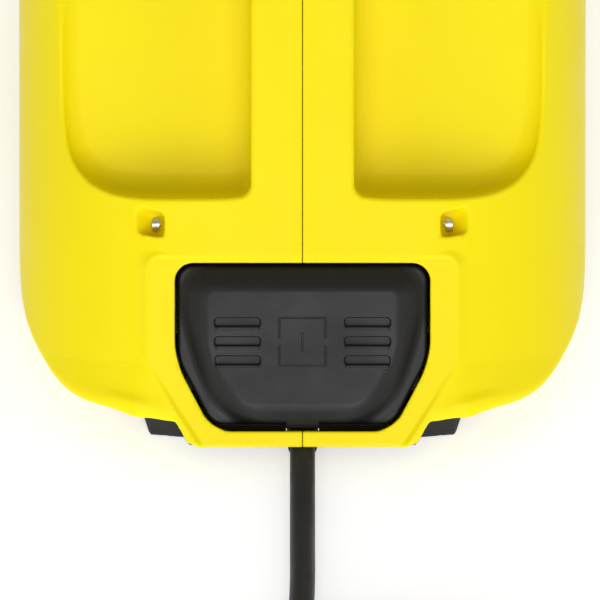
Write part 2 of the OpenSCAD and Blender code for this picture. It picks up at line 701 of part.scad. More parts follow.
// The cap's rim, scalloped for grip
function scallops(r, depth, count) = [
    for (k = [0:6 * count - 1]) let (a = 60 * k / count) (r + depth * cos(count * a)) * [cos(a), sin(a)]
];
module filter_cap() color(black) translate([0, pot_y, pot_z[1]]) difference() {
    union() {
        translate([0, 0, 3.1]) linear_extrude(10) polygon(scallops(37, 1.4, 18));
        translate([0, 0, -12]) cylinder(h = 15.2, r = 27.7);
        translate([-30, -5, 13]) cube([60, 10, 9]);
    }
    translate([0, 0, -13]) cylinder(h = 19, r = 23.5);
}
module cap_o_ring() color(black) translate([0, pot_y, pot_z[1] + 1.55]) o_ring(29.9, 1.5);
module drain_plug() color(black) difference() {
    union() {
        rod([casing_y[1] - 3.8, casing_y[1] + 6.2], 7, drain_z);
        rod([casing_y[1] + 6.1, casing_y[1] + 13], 11, drain_z);
    }
    translate([-12, casing_y[1] + 10, drain_z - 1]) cube([24, 4, 2]);
}
module drain_o_ring() color(black) translate([0, casing_y[1] + 5.05, drain_z]) rotate([90, 0, 0]) o_ring(8.4, 1);

module valve_disc() color("white") translate([0, outlet_y, 0]) {
    translate([0, 0, 172.05]) cylinder(h = 3, r = 12.6);
    translate([0, 0, 175]) cylinder(h = 7, r = 3);
    for (k = [0:2]) rotate([0, 0, 120 * k]) translate([0, -0.8, 162]) cube([9.6, 1.6, 10.2]);
}
module valve_spring() color(steel) translate([0, outlet_y, 0])
    sweep_tube([for (k = [0:60]) [8 * cos(30 * k), 8 * sin(30 * k), 175.9 + 19.3 * k / 60]], 0.8, 6);
module outlet_elbow() color(black) translate([0, outlet_y, 0]) difference() {
    union() {
        translate([0, 0, 196]) cylinder(h = 20, r = 13.9);
        translate([0, 0, outlet_z + 0.3]) cylinder(h = 12, r = 22);
        translate([0, 0, outlet_z + 12]) cylinder(h = elbow_z - outlet_z - 12, r = 17);
        translate([0, 0, elbow_z]) sphere(r = 17);
        rod([0, 24], 17, elbow_z);
        rod([24, 30], 20, elbow_z);
        rod([30, 50], thread_r, elbow_z);
    }
    translate([0, 0, 190]) cylinder(h = elbow_z - 190, r = 10.5);
    translate([0, 0, elbow_z]) sphere(r = 10.5);
    rod([0, 60], 12, elbow_z);
    translate([0, 0, 200.8]) upright_ring([0, 2.5], 16, 11.5);
}
module outlet_o_ring() color(black) translate([0, outlet_y, 202.05]) o_ring(12.7, 1.15);

placed() left_housing_shell();
placed() right_housing_shell();
placed() base_plate();
placed() rubber_feet();
placed() shell_screws();
placed() base_screws();
placed() foot_pedal();
placed() pedal_hinge_pin();
placed() pedal_spring();
placed() switch_carrier();
placed() push_switch();
placed() switch_plunger();
placed() run_capacitor();
placed() terminal_block();
placed() cord_gland();
placed() strain_relief();
placed() power_cord();
placed() cord_coil();
placed() cord_tail();
placed() cord_tie();
placed() mains_plug();
placed() plug_pins();
placed() motor_frame();
placed() stator_core();
placed() stator_windings();
placed() rotor_core();
placed() motor_shaft();
placed() rear_bearing();
placed() front_bearing();
placed() cooling_fan();
placed() fan_cowl();
placed() rear_end_shield();
placed() front_end_shield();
placed() tie_bolts();
placed() motor_cradle();
placed() front_cover();
placed() seal_plate();
placed() seal_seat();
placed() rotary_seal();
placed() pump_casing();
placed() casing_o_ring();
placed() casing_screws();
placed() impellers();
placed() diffusers();
placed() pump_foot();
placed() filter_housing();
placed() prefilter_strainer();
placed() filter_cap();
placed() cap_o_ring();
placed() drain_plug();
placed() drain_o_ring();
placed() valve_disc();
placed() valve_spring();
placed() outlet_elbow();
placed() outlet_o_ring();
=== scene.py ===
"""Looks of a foot-switched garden pump, built around its CAD frame.

Lengths inside the shape functions are millimetres in the CAD source's own coordinates:
x across, y ahead to the pump head, z up. world() turns them into metres in the shared frame.
On the sloping rear face s runs up the slope and n stands out of it.
"""

import json
import math

import bpy
import numpy as np
from mathutils import Matrix, Vector

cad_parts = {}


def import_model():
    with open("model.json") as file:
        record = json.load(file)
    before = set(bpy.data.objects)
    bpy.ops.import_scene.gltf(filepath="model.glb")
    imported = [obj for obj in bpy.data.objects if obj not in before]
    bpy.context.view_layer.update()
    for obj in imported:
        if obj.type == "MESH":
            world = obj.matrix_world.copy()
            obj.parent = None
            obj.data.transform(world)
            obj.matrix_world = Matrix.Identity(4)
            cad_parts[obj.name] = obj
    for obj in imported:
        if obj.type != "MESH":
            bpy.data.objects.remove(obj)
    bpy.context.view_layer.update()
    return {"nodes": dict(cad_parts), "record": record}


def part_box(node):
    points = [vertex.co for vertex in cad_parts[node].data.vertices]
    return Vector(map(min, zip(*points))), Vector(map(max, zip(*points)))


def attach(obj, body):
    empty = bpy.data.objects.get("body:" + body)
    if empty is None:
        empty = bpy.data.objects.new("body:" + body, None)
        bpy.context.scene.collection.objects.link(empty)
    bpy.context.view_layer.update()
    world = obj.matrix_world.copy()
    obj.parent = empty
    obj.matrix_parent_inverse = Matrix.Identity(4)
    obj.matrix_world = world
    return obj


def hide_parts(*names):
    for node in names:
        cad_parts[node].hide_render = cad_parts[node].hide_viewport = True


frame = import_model()

bl_info = {
    "name": "Garden pump looks",
    "version": (1, 0, 0),
    "blender": (4, 5, 0),
    "location": "View3D > Sidebar > Pump",
    "description": "Builds the shells, pedal, pump head, lead and finishes of a foot-switched garden pump",
    "category": "Object",
}

MM = 0.001
COVER_FRONT = 80.0
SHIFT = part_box("front_cover")[1].y / MM - COVER_FRONT

# Housing
REAR_Y, FRONT_Y = -197.0, 75.0
SKIRT_Z, LIP_Z, RIM_Z = 14.0, 16.0, 188.0
SLOPE = math.radians(49)
SIN, COS, TAN = math.sin(SLOPE), math.cos(SLOPE), math.tan(SLOPE)
FLAT_HALF, SIDE_HALF, CORNER_DEEP = 44.0, 59.5, 80.0
SPINE_HALF = 19.5
ARC_Y, ARC_Z, ARC_R = 76.0, 96.0, 153.55
BAR = 28.0
WALL = 3.0
COVER_HALF = 107.5
EDGE_R = 16
SCOOP_FLOOR_N, SCOOP_FLOOR_Z, SCOOP_FRONT_Y, SCOOP_OUT = -27.0, 153.0, 52.0, 91.7
BEZEL_N = -0.9
PEDAL_GAP = 1.0
MARK_S, GROOVE_PITCH = 39.0, 7.2

# Panels on the slope: low, foot and side corners, top, and the radii at foot, side and top
BEZEL = (-9.0, (38, -2), (59, 30), 71.3, 3, 2.5, 5)
PEDAL = (5.7, (33.5, 5.7), (47.2, 32), 67.5, 6, 2.5, 6)
PAD = (13.6, (22.5, 13.6), (36.8, 36), 59.6, 4, 2.5, 4)

# Screw wells, spine screws as y and z, and the base plate
WELL_X, WELL_S, WELL_N = 57.0, 83.5, -2.5
WELL_OUT = (0.62, 0.35, 0.70)
SPINE_SCREWS = ((-92, 112), (-18, 205), (62, 222))
BASE_LOW, BASE_TOP, BASE_INSET = 12.0, 17.0, 4.5
TRAY_DROP, TRAY_FLOOR = 4.0, 10.8

# Pump head
SHAFT_Z = 94.0
CASING_R, FLANGE_R, SCREW_CIRCLE = 70.0, 80.0, 75.0
OUTLET_Y, ELBOW_Z, ELBOW_END, ELBOW_R = 112.0, 240.0, 142.0, 17
POT_Y, POT_R, POT_LOW, POT_TOP = 174.0, 32.0, 58.0, 190.0
SUCTION_Z, DRAIN_Z = 150.0, 38.0
BARREL_END, PORT_BORE, SPIGOT_LENGTH = 142.0, 12.0, 20.0
THREAD_R, THREAD_PITCH, THREAD_DEPTH = 16.6, 2.309, 1.3

# Lead
CORD_D = 9.5
COIL_CENTRE, COIL_RADII = (49.0, -353.0), (57.0, 47.5)
COIL_START, COIL_TURN = 180.0, 1360.0
LEAD_ROUTE = [
    (0, -192, 8.5), (0, -200, 8.3), (0, -208, 7.4), (0, -216, 6.2), (0, -226, 5.2), (0, -240, 4.8),
    (0, -256, 4.8), (-0.5, -272, 4.8), (-2, -288, 4.8), (-4, -304, 4.8), (-6.2, -322, 4.8),
    (-7.6, -338, 4.8),
]
TAIL_ROUTE = [
    (26, -299, 14.5), (12, -301.5, 14.6), (0, -303.6, 14.6), (-10, -305.5, 14.2), (-19, -308.2, 12),
    (-27, -312.2, 9), (-34, -317.5, 6.8), (-39.5, -323.5, 5.8), (-45, -331.5, 6.3),
]
PLUG_HEADING, PLUG_TILT = math.radians(245), math.radians(17.5)
TIE_ANGLE = math.radians(-35)


# ---- meshes ----


def world(points):
    """Points in the CAD source's millimetres, as metres in the shared frame."""
    return (np.asarray(points, float) + (0, SHIFT, 0)) * MM


def on_slope(points):
    """Points given as x, s, n become x, y, z."""
    p = np.asarray(points, float)
    y = REAR_Y + p[..., 1] * COS - p[..., 2] * SIN
    z = LIP_Z + p[..., 1] * SIN + p[..., 2] * COS
    return np.stack([p[..., 0], y, z], -1)


def along_slope(y, z):
    """The s and n of points of a plane x = constant."""
    y, z = y - REAR_Y, z - LIP_Z
    return y * COS + z * SIN, z * COS - y * SIN


def both(a, b, r):
    """What lies in a and in b, with its edge rounded to r."""
    return np.minimum(-r, np.maximum(a, b)) + np.hypot(np.maximum(a + r, 0), np.maximum(b + r, 0))


def either(a, b, r):
    return -both(-a, -b, r)


def less(a, b, r):
    return both(a, -b, r)


def ease(t):
    t = np.clip(t, 0, 1)
    return t * t * (3 - 2 * t)


def slanted(x, y, a, b):
    """Distance to the right of the line from a to b."""
    dx, dy = b[0] - a[0], b[1] - a[1]
    return ((x - a[0]) * dy - (y - a[1]) * dx) / math.hypot(dx, dy)


def gradient(field, p, reach=0.02):
    g = np.empty_like(p)
    for axis in range(3):
        step = np.zeros(3)
        step[axis] = reach
        g[:, axis] = field(*(p + step).T) - field(*(p - step).T)
    return g / np.maximum(np.linalg.norm(g, axis=1, keepdims=True), 1e-12)


def contour(field, low, high, step):
    """The surface where a field is zero, by dual contouring.

    Returns vertices, quads and a normal for every corner of every quad.
    """
    low = np.array(low, float)
    count = [int(math.ceil((high[a] - low[a]) / step)) + 1 for a in range(3)]
    x, y, z = (low[a] + step * np.arange(count[a]) for a in range(3))
    grid = np.broadcast_to(field(x[:, None, None], y[None, :, None], z[None, None, :]), count)
    inside = grid < 0
    unit = np.eye(3, dtype=int)
    starts, ways = [], []
    for axis in range(3):
        near = tuple(slice(0, -1) if a == axis else slice(None) for a in range(3))
        far = tuple(slice(1, None) if a == axis else slice(None) for a in range(3))
        starts.append(np.argwhere(inside[near] != inside[far]))
        ways.append(np.full(len(starts[-1]), axis))
    start, way = np.concatenate(starts), np.concatenate(ways)
    ahead = unit[way]
    f0, f1 = grid[tuple(start.T)], grid[tuple((start + ahead).T)]
    t0, t1 = np.zeros(len(start)), np.ones(len(start))
    for _ in range(3):
        t = t0 + (t1 - t0) * f0 / np.where(f0 == f1, 1, f0 - f1)
        p = low + step * (start + ahead * t[:, None])
        f = field(*p.T)
        same = (f < 0) == (f0 < 0)
        t0, f0 = np.where(same, t, t0), np.where(same, f, f0)
        t1, f1 = np.where(same, t1, t), np.where(same, f1, f)
    normal = gradient(field, p)
    u, v = unit[(way + 1) % 3], unit[(way + 2) % 3]
    around = np.stack([start - u - v, start - v, start, start - u], 1)
    key = (around[..., 0] * count[1] + around[..., 1]) * count[2] + around[..., 2]
    cells, index = np.unique(key.ravel(), return_inverse=True)
    index = index.ravel()

    def total(values):
        return np.bincount(index, np.repeat(values, 4), len(cells))

    number = np.bincount(index, minlength=len(cells))[:, None]
    middle = np.stack([total(p[:, a]) for a in range(3)], 1) / number
    squares = np.empty((len(cells), 3, 3))
    for a in range(3):
        for b in range(3):
            squares[:, a, b] = total(normal[:, a] * normal[:, b])
    plane = (normal * p).sum(1)
    target = np.stack([total(normal[:, a] * plane) for a in range(3)], 1)
    target -= np.einsum("nab,nb->na", squares, middle)
    squares += 0.04 * np.eye(3) * number[:, :, None]
    corner = low + step * np.stack(np.unravel_index(cells, count), 1)
    vertices = np.clip(middle + np.linalg.solve(squares, target[..., None])[..., 0], corner, corner + step)
    quads = index.reshape(-1, 4)
    outward = inside[tuple(start.T)]
    quads = np.where(outward[:, None], quads, quads[:, ::-1])
    corners = vertices[quads]
    pulled = corners + 0.3 * (corners.mean(1, keepdims=True) - corners)
    normals = gradient(field, pulled.reshape(-1, 3))
    return vertices, quads, normals


def new_object(name, vertices, faces, normals=None):
    """A mesh object from points in metres in the shared frame."""
    mesh = bpy.data.meshes.new(name)
    mesh.from_pydata(np.asarray(vertices).tolist(), [], [list(f) for f in faces])
    mesh.polygons.foreach_set("use_smooth", [True] * len(mesh.polygons))
    if normals is None:
        mesh.set_sharp_from_angle(angle=math.radians(35))
    else:
        mesh.normals_split_custom_set(np.asarray(normals).tolist())
    mesh.update()
    obj = bpy.data.objects.new(name, mesh)
    bpy.context.collection.objects.link(obj)
    return obj


def solid(name, field, low, high, step, place=None):
    """A piece from a field. place turns the field's own coordinates into the CAD source's."""
    vertices, quads, normals = contour(field, low, high, step)
    if place is not None:
        normals = place(normals) - place(np.zeros(3))
        vertices = place(vertices)
    return new_object(name, world(vertices), quads.tolist(), normals)


def lathe(name, profile, place, steps=64, shape=None):
    """Turns a profile of (along, radius) about the first axis.

    shape(angle, along, radius), where given, changes the radius.
    """
    profile = np.asarray(profile, float)
    angle = np.linspace(0, 2 * math.pi, steps, endpoint=False)
    along = profile[:, 0][:, None] + 0 * angle[None]
    radius = profile[:, 1][:, None] + 0 * angle[None]
    if shape is not None:
        radius = shape(angle[None] + 0 * radius, along, radius)
    points = np.stack([along, radius * np.cos(angle), radius * np.sin(angle)], -1).reshape(-1, 3)
    faces = []
    rows = len(profile)
    for i in range(rows - 1):
        for k in range(steps):
            a, b = i * steps + k, i * steps + (k + 1) % steps
            faces.append((a, b, b + steps, a + steps))
    if profile[0, 1] > 0:
        faces.append(tuple(range(steps))[::-1])
    if profile[-1, 1] > 0:
        faces.append(tuple((rows - 1) * steps + k for k in range(steps)))
    return new_object(name, world(place(points)), faces)


def finish_piece(obj, body, slot, *replaced):
    """Gives a piece its finish and body, and hides the CAD nodes that it stands for."""
    obj.data.materials.append(material(slot))
    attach(obj, body)
    if replaced:
        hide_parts(*replaced)
    return obj


# ---- finishes ----


class Value:
    """A shader socket that takes part in Python arithmetic."""

    def __init__(self, finish, socket):
        self.finish, self.socket = finish, socket

    def maths(self, operation, first, second):
        node = self.finish.node("ShaderNodeMath", {"operation": operation}, {0: first, 1: second})
        return Value(self.finish, node.outputs[0])

    def __add__(self, other):
        return self.maths("ADD", self, other)

    def __mul__(self, other):
        return self.maths("MULTIPLY", self, other)

    __radd__ = __add__
    __rmul__ = __mul__


class Finish:
    """A material in the making, round one Principled shader."""

    def __init__(self, name, **constants):
        self.material = bpy.data.materials.new(f"{name}_finish")
        self.material.use_nodes = True
        self.tree = self.material.node_tree
        self.shader = self.tree.nodes["Principled BSDF"]
        self.place = self.node("ShaderNodeTexCoord").outputs["Object"]
        for socket, value in constants.items():
            self.shader.inputs[socket.replace("_", " ")].default_value = value

    def node(self, kind, settings=None, inputs=None):
        node = self.tree.nodes.new(kind)
        for key, value in (settings or {}).items():
            setattr(node, key, value)
        self.join(node, inputs)
        return node

    def join(self, node, inputs):
        for key, value in (inputs or {}).items():
            value = value.socket if isinstance(value, Value) else value
            if isinstance(value, bpy.types.NodeSocket):
                self.tree.links.new(value, node.inputs[key])
            else:
                node.inputs[key].default_value = value

    def noise(self, scale, detail=2.0, stretch=(1, 1, 1)):
        place = self.place
        if stretch != (1, 1, 1):
            scaled = self.node("ShaderNodeVectorMath", {"operation": "MULTIPLY"}, {0: place, 1: stretch})
            place = scaled.outputs[0]
        inputs = {"Vector": place, "Scale": scale, "Detail": detail}
        return Value(self, self.node("ShaderNodeTexNoise", None, inputs).outputs[0])

    def cells(self, scale):
        inputs = {"Vector": self.place, "Scale": scale}
        return Value(self, self.node("ShaderNodeTexVoronoi", None, inputs).outputs["Distance"])

    def limits(self, value, low, high, to_low=0.0, to_high=1.0):
        inputs = {"Value": value, "From Min": low, "From Max": high, "To Min": to_low, "To Max": to_high}
        return Value(self, self.node("ShaderNodeMapRange", None, inputs).outputs[0])

    def edges(self, low=0.52, high=0.6):
        """1 on sharp outer edges, 0 elsewhere."""
        point = self.node("ShaderNodeNewGeometry").outputs["Pointiness"]
        return self.limits(Value(self, point), low, high)

    def mix(self, share, first, second):
        node = self.node("ShaderNodeMix", {"data_type": "RGBA"}, {0: share, 6: first, 7: second})
        return node.outputs[2]

    def colour(self, socket):
        self.join(self.shader, {"Base Color": socket})

    def roughness(self, value):
        self.join(self.shader, {"Roughness": value})

    def relief(self, height, depth):
        """A bump of the given depth in metres."""
        bump = self.node("ShaderNodeBump", None, {"Height": height, "Strength": 1.0, "Distance": depth})
        self.join(self.shader, {"Normal": bump.outputs[0]})


def moulded(name, colour, shade, rough=0.42, grain=2600.0, depth=0.00002, gloss=0.4):
    """Moulded plastic: a fine spark-eroded grain, slightly uneven gloss, and a painted highlight of paler
    colour on sharp outer edges.
    """
    f = Finish(name, Specular_IOR_Level=gloss)
    broad = f.limits(f.noise(14.0, 3.0), 0.3, 0.7)
    # Painted highlight: sharp outer edges are mixed, in patches, towards a paler colour.
    edge_highlight = f.edges() * f.limits(f.noise(90.0, 3.0), 0.35, 0.7)
    highlight_colour = tuple(min(1.0, c * 1.15 + 0.02) for c in colour[:3]) + (1,)
    f.colour(f.mix(edge_highlight * 0.35, f.mix(broad, colour, shade), highlight_colour))
    f.roughness(f.limits(f.noise(60.0, 3.0), 0.3, 0.7, rough - 0.05, rough + 0.06))
    f.relief(f.noise(grain, 2.0), depth)
    return f.material


def rubber(name, colour, shade, rough=0.62, grain=1500.0, depth=0.00005):
    """Rubber or soft-touch overmoulding: pebbled, matt, with a little pale dust in the pores."""
    f = Finish(name, Specular_IOR_Level=0.4)
    pores = f.cells(grain)
    dust = f.limits(f.noise(35.0, 4.0), 0.5, 0.8) * f.limits(pores, 0.2, 0.7)
    f.colour(f.mix(dust * 0.5, colour, shade))
    f.roughness(f.limits(f.noise(50.0, 3.0), 0.3, 0.7, rough - 0.07, rough + 0.08))
    f.relief(pores * 0.6 + f.noise(grain * 0.4, 3.0) * 0.4, depth)
    return f.material


def metal(name, colour, shade, rough=0.3, stretch=(1, 1, 1), scale=900.0, depth=0.000008):
    """Bare or plated metal with drawn or turned marks and duller patches."""
    f = Finish(name, Metallic=1.0)
    marks = f.noise(scale, 3.0, stretch)
    f.colour(f.mix(f.limits(f.noise(70.0, 3.0), 0.35, 0.7), colour, shade))
    f.roughness(f.limits(marks, 0.3, 0.7, rough - 0.08, rough + 0.12))
    f.relief(marks, depth)
    return f.material


def laminated(name, colour, shade):
    """Stacked steel sheets, seen as fine lines across the stack."""
    f = Finish(name, Metallic=1.0)
    bands = f.node("ShaderNodeTexWave", {"bands_direction": "Y"}, {"Vector": f.place, "Scale": 320.0})
    lines = Value(f, bands.outputs["Fac"])
    f.colour(f.mix(lines, colour, shade))
    f.roughness(f.limits(f.noise(200.0), 0.3, 0.7, 0.35, 0.5))
    f.relief(lines, 0.00003)
    return f.material


def lead_finish(name, colour, shade):
    """Rubber lead sheath with faint lengthwise draw lines and chalky patches."""
    f = Finish(name, Specular_IOR_Level=0.45)
    lines = f.noise(900.0, 2.0, (1.0, 0.08, 1.0))
    f.colour(f.mix(f.limits(f.noise(60.0, 4.0), 0.4, 0.8), colour, shade))
    f.roughness(f.limits(f.noise(110.0, 3.0), 0.3, 0.7, 0.45, 0.6))
    f.relief(lines, 0.00004)
    return f.material


def floor_finish(name, colour):
    f = Finish(name, Roughness=0.9, Specular_IOR_Level=0.1,
               Emission_Color=(1, 1, 1, 1), Emission_Strength=0.5)
    f.colour(f.mix(f.noise(3.0, 2.0), colour, tuple(c * 0.99 for c in colour[:3]) + (1,)))
    return f.material


FINISHES = {
    "yellow_shell": lambda c: moulded("yellow_shell", c, (c[0] * 0.975, c[1] * 0.96, c[2], 1),
                                      0.4, 2400.0, 0.000016, 0.12),
    "pedal_black": lambda c: rubber("pedal_black", (0.008, 0.008, 0.0085, 1), (0.014, 0.014, 0.0145, 1),
                                    0.5, 1900.0),
    "black_plastic": lambda c: moulded("black_plastic", (0.02, 0.02, 0.021, 1), (0.026, 0.026, 0.027, 1),
                                       0.45),
    "soft_rubber": lambda c: rubber("soft_rubber", (0.012, 0.012, 0.013, 1), (0.03, 0.03, 0.03, 1), 0.7),
    "lead_rubber": lambda c: lead_finish("lead_rubber", (0.016, 0.016, 0.017, 1), (0.024, 0.024, 0.025, 1)),
    "plug_rubber": lambda c: rubber("plug_rubber", (0.017, 0.017, 0.018, 1), (0.032, 0.032, 0.032, 1),
                                    0.55),
    "zinc_steel": lambda c: metal("zinc_steel", (0.62, 0.62, 0.6, 1), (0.5, 0.5, 0.47, 1), 0.32),
    "spring_steel": lambda c: metal("spring_steel", (0.42, 0.42, 0.43, 1), (0.3, 0.3, 0.31, 1), 0.3),
    "ground_steel": lambda c: metal("ground_steel", (0.6, 0.6, 0.61, 1), (0.5, 0.5, 0.51, 1),
                                    0.2, (1, 30, 1)),
    "grey_plastic": lambda c: moulded("grey_plastic", (0.12, 0.125, 0.13, 1), (0.1, 0.1, 0.105, 1)),
    "white_plastic": lambda c: moulded("white_plastic", (0.7, 0.7, 0.68, 1), (0.62, 0.62, 0.6, 1)),
    "cast_aluminium": lambda c: metal("cast_aluminium", (0.55, 0.56, 0.57, 1), (0.42, 0.43, 0.44, 1), 0.5,
                                      scale=1200.0, depth=0.00006),
    "motor_steel": lambda c: laminated("motor_steel", (0.32, 0.32, 0.33, 1), (0.2, 0.2, 0.21, 1)),
    "copper_wire": lambda c: metal("copper_wire", (0.72, 0.3, 0.14, 1), (0.5, 0.18, 0.08, 1),
                                   0.35, (1, 12, 1), 500.0),
    "cream_plastic": lambda c: moulded("cream_plastic", (0.7, 0.62, 0.42, 1), (0.62, 0.54, 0.36, 1)),
    "ceramic": lambda c: moulded("ceramic", (0.8, 0.78, 0.72, 1), (0.72, 0.7, 0.64, 1),
                                 0.2, 3000.0, 0.000004),
}


def material(slot):
    """The finish of a material slot, made once."""
    shell = bpy.context.scene.pump_colours.shell_colour
    return bpy.data.materials.get(f"{slot}_finish") or FINISHES[slot]((*shell, 1))


# ---- shapes ----


def plan_field(x, y, z):
    """The sheared body: a flat rear face whose ends curve away into the sides."""
    ahead = y - REAR_Y - np.maximum(z - LIP_Z, 0) / TAN
    wide = np.abs(x)
    s, _ = along_slope(y, z)
    flare = 3.0 * ease((ahead - 12) / 52) + 1.8 * ease((ahead - 50) / 55) * ease((50 - y) / 60)
    out = np.maximum(wide - flare - FLAT_HALF, 0) / SIDE_HALF
    back = np.maximum(CORNER_DEEP - ahead, 0) / CORNER_DEEP
    reach = np.hypot(out, back)
    rate = np.hypot(out / SIDE_HALF, back / (CORNER_DEEP * SIN))
    length = np.where(reach > 0.1, reach / np.maximum(rate, 1e-9), CORNER_DEEP * SIN)
    side = ease((wide - 56) / 8)
    apron = np.minimum(np.maximum(31 - s, 0) * 0.07, 1.4) * side * ease((95 - ahead) / 40)
    along, across = (wide - 66) / 9.5, (s - 16.2 - (wide - 66) * 0.22) / 2.6
    pad = 0.9 * np.exp(-along**2 - across**2)
    return (reach - 1) * length - apron - pad


def panel_outline(x, s, low, foot, side, top, foot_r, side_r, top_r):
    """A panel on the slope: a flat foot, slanted lower sides, upright sides and a flat top."""
    wide = np.abs(x)
    lower = both(low - s, slanted(wide, s, foot, side), foot_r)
    return both(both(lower, wide - side[0], side_r), s - top, top_r)


def scoop_field(x, y, z):
    """The hand scoops: an oval recess low on the slope and a ledge above it."""
    wide = np.abs(x)
    s, n = along_slope(y, z)
    u, v = (wide - 45) / 47, np.minimum(s - 156, 0) / 63
    q = np.maximum((u**4 + v**4) ** 0.25, 1e-3)
    rate = np.maximum(np.hypot(u**3 / 47, v**3 / 63) / q**3, 2e-3)
    lower = both((q - 1) / rate, SCOOP_FLOOR_N - n, 8)
    upper = both(both(wide - SCOOP_OUT, y - SCOOP_FRONT_Y, 16), SCOOP_FLOOR_Z - z, 8)
    return both(either(lower, upper, 3), SPINE_HALF - wide, 4)


def handle_hole(y, z):
    """The opening under the handle, seen from the side."""
    under = np.hypot(y - ARC_Y, z - ARC_Z) - (ARC_R - BAR)
    sill = both(under, 158 - z, 7)
    front = slanted(y, z, (46, 158), (41, 217))
    rear = -slanted(y, z, (-30, 158), (-16, 182))
    return both(both(sill, front, 7), rear, 5)


def spine_field(x, y, z):
    """The centre spine, which rises into the handle's arc."""
    s, n = along_slope(y, z)
    angle = np.arctan2(ARC_Y - y, z - ARC_Z)
    top = np.where(angle > SLOPE, n, np.hypot(y - ARC_Y, z - ARC_Z) - ARC_R)
    form = both(np.abs(x) - SPINE_HALF, top, 2.2 + 5.0 * ease((s - 150) / 60))
    return np.maximum(form, 78 - s)


def skirt_level(x):
    """Height of the housing's lower edge."""
    wide = np.abs(x)
    return SKIRT_Z + 5.6 * ease((wide - 42) / 7) * ease((95 - wide) / 28)


def shell_form(x, y, z):
    """The outside of both shells together."""
    wide = np.abs(x)
    s, n = along_slope(y, z)
    block = both(plan_field(x, y, z), z - RIM_Z, EDGE_R)
    outline = panel_outline(x, s, *BEZEL)
    block = less(block, np.maximum(outline, BEZEL_N - 3 - n), 0.5)
    flank = (n - BEZEL_N + outline) / math.sqrt(2)
    bezel = np.maximum(both(flank, n - BEZEL_N, 0.4), np.maximum(outline - 12, -18 - n))
    block = either(block, bezel, 1.6)
    rim = 1.7 + 7 * ease((wide - 78) / 12) * ease((s - 150) / 40)
    block = less(block, scoop_field(x, y, z), rim)
    body = np.minimum(block, spine_field(x, y, z))
    body = less(body, handle_hole(y, z), 5)
    roll = 1.5 + 4.5 * ease((wide - 38) / 10)
    body = both(body, skirt_level(x) - z, roll)
    return np.maximum(body, y - FRONT_Y)


def well_field(x, y, z):
    """The tilted pocket round a housing screw."""
    s, n = along_slope(y, z)
    wide = np.abs(x)
    out = np.array(WELL_OUT) / np.linalg.norm(WELL_OUT)
    dx, ds, dn = wide - WELL_X, s - WELL_S, n - WELL_N
    depth = dx * out[0] + ds * out[1] + dn * out[2]
    side = np.array([out[2], 0, -out[0]]) / math.hypot(out[0], out[2])
    up = np.cross(out, side)
    a = dx * side[0] + ds * side[1] + dn * side[2]
    b = dx * up[0] + ds * up[1] + dn * up[2]
    return both((a**4 + b**4) ** 0.25 - 4.7, -8.5 - depth, 1.5)


def shell_field(x, y, z):
    """The hollow shells, with the pedal's opening, screw wells and bosses."""
    form = shell_form(x, y, z)
    hollow = both(form + WALL, 13 - z, 0.5)
    hollow = np.where(y > FRONT_Y - 8, np.maximum(form + WALL, -20), hollow)
    skin = less(form, hollow, 0.3)
    s, n = along_slope(y, z)
    opening = np.maximum(panel_outline(x, s, *PEDAL) - PEDAL_GAP, -40 - n)
    skin = less(skin, opening, 0.7)
    post = both(well_field(x, y, z) - 2.4, form + 0.5, 0.5)
    skin = less(np.minimum(skin, post), well_field(x, y, z), 0.9)
    for screw_y, screw_z in SPINE_SCREWS:
        around = np.hypot(y - screw_y, z - screw_z)
        boss = both(around - 6, np.abs(x) - SPINE_HALF + 1, 0.5)
        skin = np.minimum(skin, boss)
        skin = less(skin, np.maximum(around - 4, 8 - x), 0.6)
    return skin


def pedal_field(x, s, n):
    """The pedal: a raised pad on a flange, grip grooves and the on mark."""
    wide = np.abs(x)
    outline, pad = panel_outline(x, s, *PEDAL), panel_outline(x, s, *PAD)
    flank_rise, flank_run = 6.5, 8.6
    slant = math.hypot(flank_rise, flank_run)
    flank = ((n - 2) * flank_run + pad * flank_rise) / slant
    top = both(n - 2, flank, 1.3)
    top = either(top, n + 4.4, 1.2)
    form = both(outline, top, 1.5)
    for k in (-1, 0, 1):
        a, b = np.abs(wide - 24.5) - 7.3, np.abs(s - MARK_S - GROOVE_PITCH * k) - 0.5
        groove = np.hypot(np.maximum(a, 0), np.maximum(b, 0)) + np.minimum(np.maximum(a, b), 0) - 1.3
        form = less(form, both(groove, 0.2 - n, 0.5), 0.6)
        ridge = np.hypot(np.maximum(a, 0), s - MARK_S - GROOVE_PITCH * k + 2.4) - 0.75
        form = either(form, np.hypot(ridge + 0.4, n - 1.75) - 0.55, 0.5)
    up = np.abs(s - MARK_S)
    square = np.abs(np.maximum(wide, up * 8.7 / 9) - 8.7) - 0.3
    square = np.maximum(square, 1.4 - up)
    stroke = np.maximum(wide - 0.35, up - 3.4)
    form = less(form, np.maximum(np.minimum(square, stroke), 1.55 - n), 0.15)
    under = np.maximum(outline + 3, n + 7.5)
    form = np.maximum(np.maximum(form, -12 - n), -under)
    z = LIP_Z + s * SIN + n * COS
    return np.maximum(form, -np.maximum(np.maximum(wide - 12, z - 15.6), n + 7))


def rear_foot_field(x, y, z):
    """A rear foot: its rear edge follows the housing, and its sides widen upwards."""
    wide = np.abs(x)
    rear = -180.3 + 0.12 * (wide - 30) - y
    outline = both(both(both(30 - wide, rear, 3), wide - 58.2 - 0.24 * z, 2.5), y + 148, 3)
    tread = np.abs((y + 200) % 5 - 2.5) - 1.2
    outline = less(both(outline, -z, 0.8), np.maximum(tread, z - 0.9), 0.3)
    return both(outline, z - BASE_TOP, 0.5)


def front_foot_field(x, y, z):
    """A front foot, under the pump's own foot."""
    wide = np.abs(x)
    outline = both(both(28 - wide, wide - 58, 4), np.abs(y - OUTLET_Y) - 16, 4)
    tread = np.abs(y % 5 - 2.5) - 1.2
    return both(less(both(outline, -z, 0.8), np.maximum(tread, z - 0.9), 0.3), z - 8.3, 0.3)


